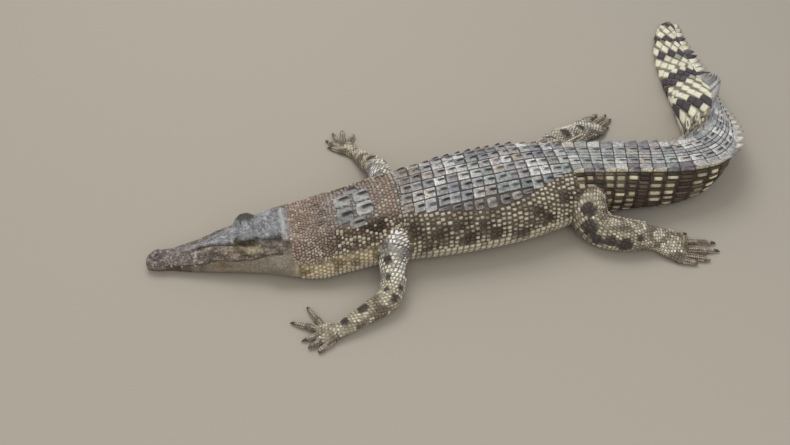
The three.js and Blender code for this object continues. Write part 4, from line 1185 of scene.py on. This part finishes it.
# Where the bars of the sides end, where the tail no longer shows its underside, and
# where the crest blades of the bend, which are pale, begin and end.
BARS_END, UNDERSIDE_END = 905, 1000
BEND = (835, 1080)
# How far down the side the pale dashes of each whorl reach, from 0, none, to 1.
DASHES = (1, 0.6, 0, 0.45, 1, 1, 0, 0.45, 1, 0, 1, 1, 0, 0.3, 1, 0, 0.5, 0.3)
DASH_PITCH = 12
CREAM_CRESTS, DARK_CRESTS = (0, 3, 4, 6, 7, 10, 11), (2, 5, 9)
# Height of the blades of the double crest: distance along, height.
BLADE_HEIGHTS = [(593, 3.5), (700, 5), (800, 9), (900, 15), (983, 20), (1040, 20), (1091, 15)]
middles, crest_rows, blade_rows, bars, unders = [], [], [], [], []
for whorl in range(WHORLS):
    middle = WHORL_START + (whorl + 0.5) * WHORL_PITCH
    half = WHORL_PITCH / 2 - 0.35
    girth, out = float(body.girth(middle)), float(crest_out(middle))
    if middle < SINGLE_CREST:
        crests, tall = (-1, 1), float(through(*zip(*BLADE_HEIGHTS), middle))
    else:
        crests, tall = (0,), 8 + 16 * (TAIL_TIP - middle) / (TAIL_TIP - SINGLE_CREST)
    for side in crests:
        blade_rows.append((middle + 1, side * (out - 1.5), half, min(4.2, 2.2 + out * 0.12), tall, whorl))
        if out > 8:
            middles.append((middle, side * 0.1 * out, half, 0.1 * out - 0.3, 0.0))
            middles.append((middle, side * 0.41 * out, half, 0.2 * out - 0.3, 2.0))
            crest_rows.append((middle, side * 0.78 * out, half, 0.17 * out - 0.3, whorl))
    start = out + 3.4
    stop = girth / 2 - 8
    for side in (-1, 1):
        if middle < BARS_END:
            count = max(2, int(round((stop - start) / DASH_PITCH)))
            step = (stop - start) / count
            for column in range(count):
                top = start + step * column
                pale = (column + 0.5) / count < DASHES[whorl]
                bars.append((middle, side * (top + 0.22 * step), half, 0.22 * step - 0.25, 0))
                bars.append((middle + 0.8, side * (top + 0.72 * step), half - 1.0, 0.26 * step, pale))
        if middle < UNDERSIDE_END:
            unders.append((middle, side * (girth / 2 - 4), half, 3.8))


# Lozenges stand where the bars end, in cross rows that lock into one another.
LOZENGE_START, LOZENGE_WIDTH = 904.0, 19


def lozenge_pitch(along):
    """Rows lie further apart where the slant of the side would squeeze them."""
    return 15.5 + 19 * bell(along - 1010, 40)


lozenge_rows = [LOZENGE_START]
while lozenge_rows[-1] < TAIL_TIP - 26:
    lozenge_rows.append(lozenge_rows[-1] + lozenge_pitch(lozenge_rows[-1]))
lozenges = []
for row, middle in enumerate(lozenge_rows):
    start = float(crest_out(middle)) + 3.4 if middle < SINGLE_CREST else 2.8
    stop = float(body.girth(middle)) / 2 - 1.5
    count = max(2, int(round((stop - start) / LOZENGE_WIDTH)))
    step = (stop - start) / count
    shift = (row % 2) / 2
    for side, column in product((-1, 1), range(count + (shift == 0))):
        offset = min(max(start + step * (column + shift), start + 2), stop)
        lozenges.append((middle, side * offset, lozenge_pitch(middle) * 0.94, step / 2 * 0.93))

KEEL_GRID = {"lengthways": KEEL_ROWS, "sideways": KEEL_COLUMNS, "crown": 0.2}
rows = np.array(middles)
paler = (1 + 0.2 * rise(rows[:, 0], 800, 880))[:, None]
colours = varied(slate(body_places(rows)) * paler, 0.16)
crest.lay(body, plates_of(*rows[:, :4].T, colours, top=0.5, rim=-0.2, keel=rows[:, 4], roundness=0.1),
          **KEEL_GRID, edge_shade=0.42, rim_highlight=1.25)
rows = np.array(crest_rows)
paler = (1 + 0.2 * rise(rows[:, 0], 800, 880))[:, None]
colours = varied(slate(body_places(rows)) * paler, 0.12)
colours[np.isin(rows[:, 4], DARK_CRESTS) & (rows[:, 1] > 0)] = shade(124, 115, 118)
crest.lay(body, plates_of(*rows[:, :4].T, colours, top=0.6, rim=-0.3, roundness=0.1, flare=2.6),
          **KEEL_GRID, edge_shade=0.5, rim_highlight=1.15)
# Blades: slate, then as the side below them; on the left some are cream or black.
rows = np.array(blade_rows)
places = body_places(rows)
double = (rows[:, 0] < SINGLE_CREST)[:, None]
base = varied(np.where(double, slate(places) * 0.85, body_hide(rows[:, 0], 9 + rows[:, 1], places)), 0.12)
tips = base * 0.8
on_left = rows[:, 1] > 0
cream, dark = (on_left & np.isin(rows[:, 5], whorls) for whorls in (CREAM_CRESTS, DARK_CRESTS))
at_bend = on_left & (rows[:, 0] > BEND[0]) & (rows[:, 0] < BEND[1])
tips[cream | at_bend] = shade(232, 226, 212)
base[cream] = shade(196, 184, 160)
base[at_bend] = shade(206, 202, 194)
tips[dark] = shade(80, 70, 72)
crest.lay(body, plates_of(*rows[:, :4].T, base, top=0.8, rim=-0.3, keel=rows[:, 4], roundness=0.2, tips=tips),
          KEEL_ROWS, BLADE_COLUMNS, crown=0.2, edge_shade=0.6)
# Side bars: dark ones, with pale dashes between them that vary in place and length.
rows = np.array(bars)
colours = varied(mix(body_colours(rows), shade(84, 72, 58), 0.6), 0.5)
bright = rows[:, 4] > 0
colours[bright] = toned(shade(206, 194, 164), bright.sum(), 0.45)
dim = bright & (draw.random(len(rows)) < 0.2)
colours[dim] = mix(colours[dim], shade(96, 82, 64), 0.6)
rows[:, :2] += bright[:, None] * draw.normal(0, 0.9, (len(rows), 2))
rows[:, 2] *= 1 - 0.34 * bright * draw.random(len(rows))
rows[:, 3] *= 1 + 0.5 * bright * (draw.random(len(rows)) - 0.6)
tail.lay(body, plates_of(*rows[:, :4].T, colours, top=0.3 + 0.3 * bright, rim=-0.7, roundness=0.25), edge_shade=0.5)
rows = np.array(lozenges)
colours = body_hide(slanted(rows[:, 0], rows[:, 1]), rows[:, 1], body_places(rows))
tail.lay(body, plates_of(*rows.T, varied(colours, 0.08), top=0.15, rim=-0.45, roundness=0.0),
         diamond=True, edge_shade=0.5)
rows = np.array(unders)
colours = varied(mix(body_colours(rows), BELLY_CREAM, 0.4), 0.1)
tail.lay(body, plates_of(*rows.T, colours, top=0.0, rim=-0.6, roundness=0.2))
tail.build()
crest.build()
armour.build()

# ---------------------------------------------------------------------------
# Limb scales: small overlapping scales down each limb, tall pale ones along the top
# edge of the shank, and narrow cross plates on top of the digits.
# Where the rows of the upper limb start and end, and those of the lower limb start.
LIMB_START, UPPER_END, LOWER_START = 14, 84, 86
# Cross rows of the tall pale scales.
FRINGE = np.arange(76, 150, 6.4)
for index, name in enumerate(LIMBS):
    coat = Coat(name + "_scales", "hide_leg", scale_finish)
    strip = (0.8 + 0.04 * index, 0.83 + 0.04 * index)
    form = limb_forms[name]
    hind, right = "hind" in name, "right" in name
    upper, lower = (5.2, 4.4) if hind else (5.6, 4.4)
    rows = []
    cross_rows = [
        *np.arange(LIMB_START, UPPER_END, upper), *np.arange(LOWER_START, form.along[-1] - 4, lower)]
    for row, along in enumerate(cross_rows):
        girth, pitch = float(form.girth(along)), upper if along < UPPER_END else lower
        count = max(6, int(round(girth / pitch)))
        for column in range(count):
            rows.append((along, girth * (column + 0.5 * (row % 2)) / count, girth / count, pitch / 2))
    rows = np.array(rows)
    rows[:, :2] += draw.normal(0, 0.3, (len(rows), 2))
    places, _ = form.place(rows[:, 0], rows[:, 1])
    keep = places[:, 2] > 1.5
    rows, places = rows[keep], places[keep]
    size = 0.88 + 0.24 * draw.random(len(rows))
    # The forelegs are white above the elbow, and the right hind leg is paler than the left.
    whiteness = (0.6 if right else 0.1) if hind else 1 - rise(rows[:, 0], 80, 105)
    colours = varied(limb_hide(places, whiteness), 0.32)
    coat.lay(form, plates_of(*rows[:, :2].T, rows[:, 3] * size, rows[:, 2] * 0.46 * size, colours,
                             top=0.2 + 0.7 * draw.random(len(rows)), rim=-0.8, roundness=0.8),
             unwrap=strip, edge_shade=0.6)
    if hind:
        rows = []
        for along, share in product(FRINGE, (0.15, 0.2, 0.25)):
            rows.append((along + draw.normal(0, 0.6), (share if right else -share) * float(form.girth(along))))
        rows = np.array(rows)
        colours = toned(shade(206, 196, 170), len(rows), 0.15)
        coat.lay(form, plates_of(*rows.T, 3.4, 2.4, colours, top=0.9, rim=-0.6, keel=2.0, roundness=0.6,
                                 tips=np.tile(shade(222, 214, 192), (len(rows), 1))),
                 KEEL_ROWS[::2], BLADE_COLUMNS, strip, edge_shade=0.5)
    for number in range(DIGITS):
        form = digit_forms[name, number]
        rows = []
        for along in np.arange(3, form.along[-1] - 1.2, 2.9):
            girth = float(form.girth(along))
            rows.append((along, 0, 1.4, 0.17 * girth))
            for side in (-1, 1):
                rows.append((along + 1.2, side * 0.26 * girth, 1.3, 0.075 * girth))
        rows = np.array(rows)
        banded = rise(clouds(form.place(rows[:, 0], rows[:, 1])[0], 7, 24), 0.45, 0.6)
        colours = varied(mix(shade(186, 171, 152), shade(126, 112, 99), banded), 0.2)
        coat.lay(form, plates_of(*rows.T, colours, top=0.15, rim=-0.5, roundness=0.4),
                 unwrap=(0.96 + 0.001 * number, 0.963 + 0.001 * number), edge_shade=0.6)
    coat.build()

# ---------------------------------------------------------------------------
# Eyes: a wet ball each, olive-amber with an upright slit for a pupil.  It sits in
# its socket with the lids of the hide half closed over it.
EYE_RADIUS = 0.0077
PUPIL_HALF = 0.0006
for sign, name in ((1, "left_eye"), (-1, "right_eye")):
    low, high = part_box(name)
    centre = (low + high) / 2
    bpy.ops.object.select_all(action="DESELECT")
    bpy.ops.mesh.primitive_uv_sphere_add(segments=40, ring_count=24, radius=EYE_RADIUS, location=centre)
    eye = bpy.context.object
    eye.name = name + "_ball"
    bpy.ops.object.transform_apply(location=True, rotation=True, scale=True)
    bpy.ops.object.shade_smooth()
    # The slit is a plane through the line of sight, a little forward of straight out.
    _, heading, left = spine_at(EYE_AT)
    gaze = sign * left - 0.35 * heading
    gaze /= np.linalg.norm(gaze)
    wet = Finish(name + "_wet")
    from_middle = wet.node("Mapping", {"Vector": wet.where, "Location": -centre})
    lengthways = wet.node("VectorMath", {0: from_middle.outputs["Vector"], 1: (gaze[1], -gaze[0], 0)},
                          operation="DOT_PRODUCT")
    width = wet.node("Math", {0: lengthways.outputs["Value"]}, operation="ABSOLUTE")
    slit = wet.node("MapRange", {"Value": width.outputs["Value"], "From Min": PUPIL_HALF,
                                 "From Max": PUPIL_HALF + 0.0005})
    flecks = wet.node("TexNoise", {"Vector": wet.where, "Scale": 900})
    iris = wet.node("Mix", {"Factor": flecks.outputs["Fac"], "A": (*shade(50, 44, 30), 1),
                            "B": (*shade(92, 80, 50), 1)}, data_type="RGBA")
    pupil = wet.node("Mix", {"Factor": slit.outputs["Result"], "A": (0.004, 0.004, 0.004, 1),
                             "B": iris.outputs["Result"]}, data_type="RGBA")
    wet.feed(wet.shader, {"Base Color": pupil.outputs["Result"], "Roughness": 0.12, "Coat Weight": 0.6})
    eye.data.materials.append(wet.material)
    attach(eye, "root")
    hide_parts(name)

# ---------------------------------------------------------------------------
# Claws: dark streaked horn, a slim cone that droops to its point.  One grows from
# the tip of each of the first three digits of a foot.

# Each ring of a claw: distance back from the point, level, half width.
CLAW_SHAPE = [
    (CLAW_LENGTH + 0.5, 3.1, 2.2), (6.5, 3.6, 2.1), (4.2, 3.4, 1.7),
    (2.2, 2.5, 1.1), (0.8, 1.5, 0.6), (0, 0.9, 0.15),
]
horn = Finish("claw_horn")
streaks = horn.node("TexNoise", {"Vector": horn.where, "Scale": 700})
tone = horn.node("ValToRGB", {"Fac": streaks.outputs["Fac"]})
dark_end, pale_end = tone.color_ramp.elements
dark_end.position, dark_end.color = 0.35, (*shade(44, 38, 34), 1)
pale_end.position, pale_end.color = 0.75, (*shade(98, 88, 76), 1)
horn.feed(horn.shader, {"Base Color": tone.outputs["Color"], "Roughness": 0.35})
for name, limb in LIMBS.items():
    for number, digit in enumerate(limb["digits"][:CLAWED]):
        base, tip = ends_of(digit)
        ahead = (tip - base) / np.linalg.norm(tip - base)
        rows = [(*(tip - ahead * back), level, half, half * 1.15) for back, level, half in CLAW_SHAPE]
        claw = tube_mesh(f"{name}_claw_{number + 1}_horn", tube_rings(rows, 0.7, 14)[1])
        face_outward(claw)
        bpy.ops.object.shade_smooth()
        claw.data.materials.append(horn.material)
        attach(claw, "root")
        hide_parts(f"{name}_claw_{number + 1}")

# ---------------------------------------------------------------------------
# Teeth: the few ivory tips that show outside the closed lips, upper ones pointing
# down and one lower one each side standing up in a notch of the upper jaw.
# Each tooth: distance along the head, length, upwards where it is above 0.
TEETH = [(12, -3.6), (24, -4.4), (36, 4.6), (50, -4.0), (68, -3.6), (90, -3.2)]
TOOTH_ROOT, TOOTH_POINT = 0.00125, 0.0002
shown = []
for at, length in TEETH:
    ring = np.linspace(0.08, 0.4, 120) * float(body.girth(at))
    for side in (-1, 1):
        places, normals = body.place(float(at), side * ring)
        lip = np.abs(places[:, 2] - mouth_level(at)).argmin()
        middle = places[lip] + normals[lip] * 0.5 + np.array([0, 0, length * 0.35])
        bpy.ops.object.select_all(action="DESELECT")
        bpy.ops.mesh.primitive_cone_add(
            vertices=10, radius1=TOOTH_ROOT, radius2=TOOTH_POINT, depth=abs(length) * 0.001,
            location=middle * 0.001, rotation=(0 if length > 0 else np.pi, 0, 0))
        shown.append(bpy.context.object)
teeth = joined(shown)
bpy.ops.object.transform_apply(location=True, rotation=True, scale=True)
teeth.name = "teeth"
face_outward(teeth)
corners = np.empty(len(teeth.data.vertices) * 3)
teeth.data.vertices.foreach_get("co", corners)
stain = clouds(corners.reshape(-1, 3) * 1000, 1.5, 61)
set_colours(teeth, mix(shade(214, 206, 184), shade(176, 158, 124), stain))
teeth.data.materials.append(hide_finish("tooth_ivory", 0.35, 0.1, 0.15))
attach(teeth, "root")

# ---------------------------------------------------------------------------
# Floor, light and camera: a plain pale floor under two broad soft lamps, one high and
# behind the animal and a weaker one in front, and a camera that looks down on it.
CAMERA_HEIGHT, CAMERA_PITCH = 0.813, 48
bpy.ops.object.select_all(action="DESELECT")
bpy.ops.mesh.primitive_plane_add(size=14, location=(0, 0, 0))
floor = bpy.context.object
floor.name = "floor"
pale = bpy.data.materials.new("pale_floor")
pale.use_nodes = True
pale_shader = pale.node_tree.nodes["Principled BSDF"]
pale_shader.inputs["Base Color"].default_value = (*shade(172, 164, 151), 1)
pale_shader.inputs["Roughness"].default_value = 0.9
floor.data.materials.append(pale)

world = bpy.data.worlds.new("studio")
world.use_nodes = True
world.node_tree.nodes["Background"].inputs["Color"].default_value = (0.96, 0.98, 1.0, 1)
world.node_tree.nodes["Background"].inputs["Strength"].default_value = 0.54
bpy.context.scene.world = world
for place, size, power in (((-0.6, 0.9, 2.2), 1.4, 26), ((0.1, -1.9, 1.4), 1.6, 14)):
    bpy.ops.object.light_add(type="AREA", location=place)
    lamp = bpy.context.object
    lamp.data.size = size
    lamp.data.energy = power
    lamp.data.color = (1.0, 0.98, 0.95)
    lamp.rotation_euler = (-Vector(place)).to_track_quat("-Z", "Y").to_euler()

bpy.ops.object.camera_add(location=tuple(TO_ROW * 0.001 + np.array([0, 0, CAMERA_HEIGHT])),
                          rotation=(np.radians(CAMERA_PITCH), 0, 0))
camera = bpy.context.object
camera.data.sensor_width = 36
camera.data.lens = 38.6
bpy.context.scene.camera = camera
bpy.context.scene.view_settings.view_transform = "Standard"
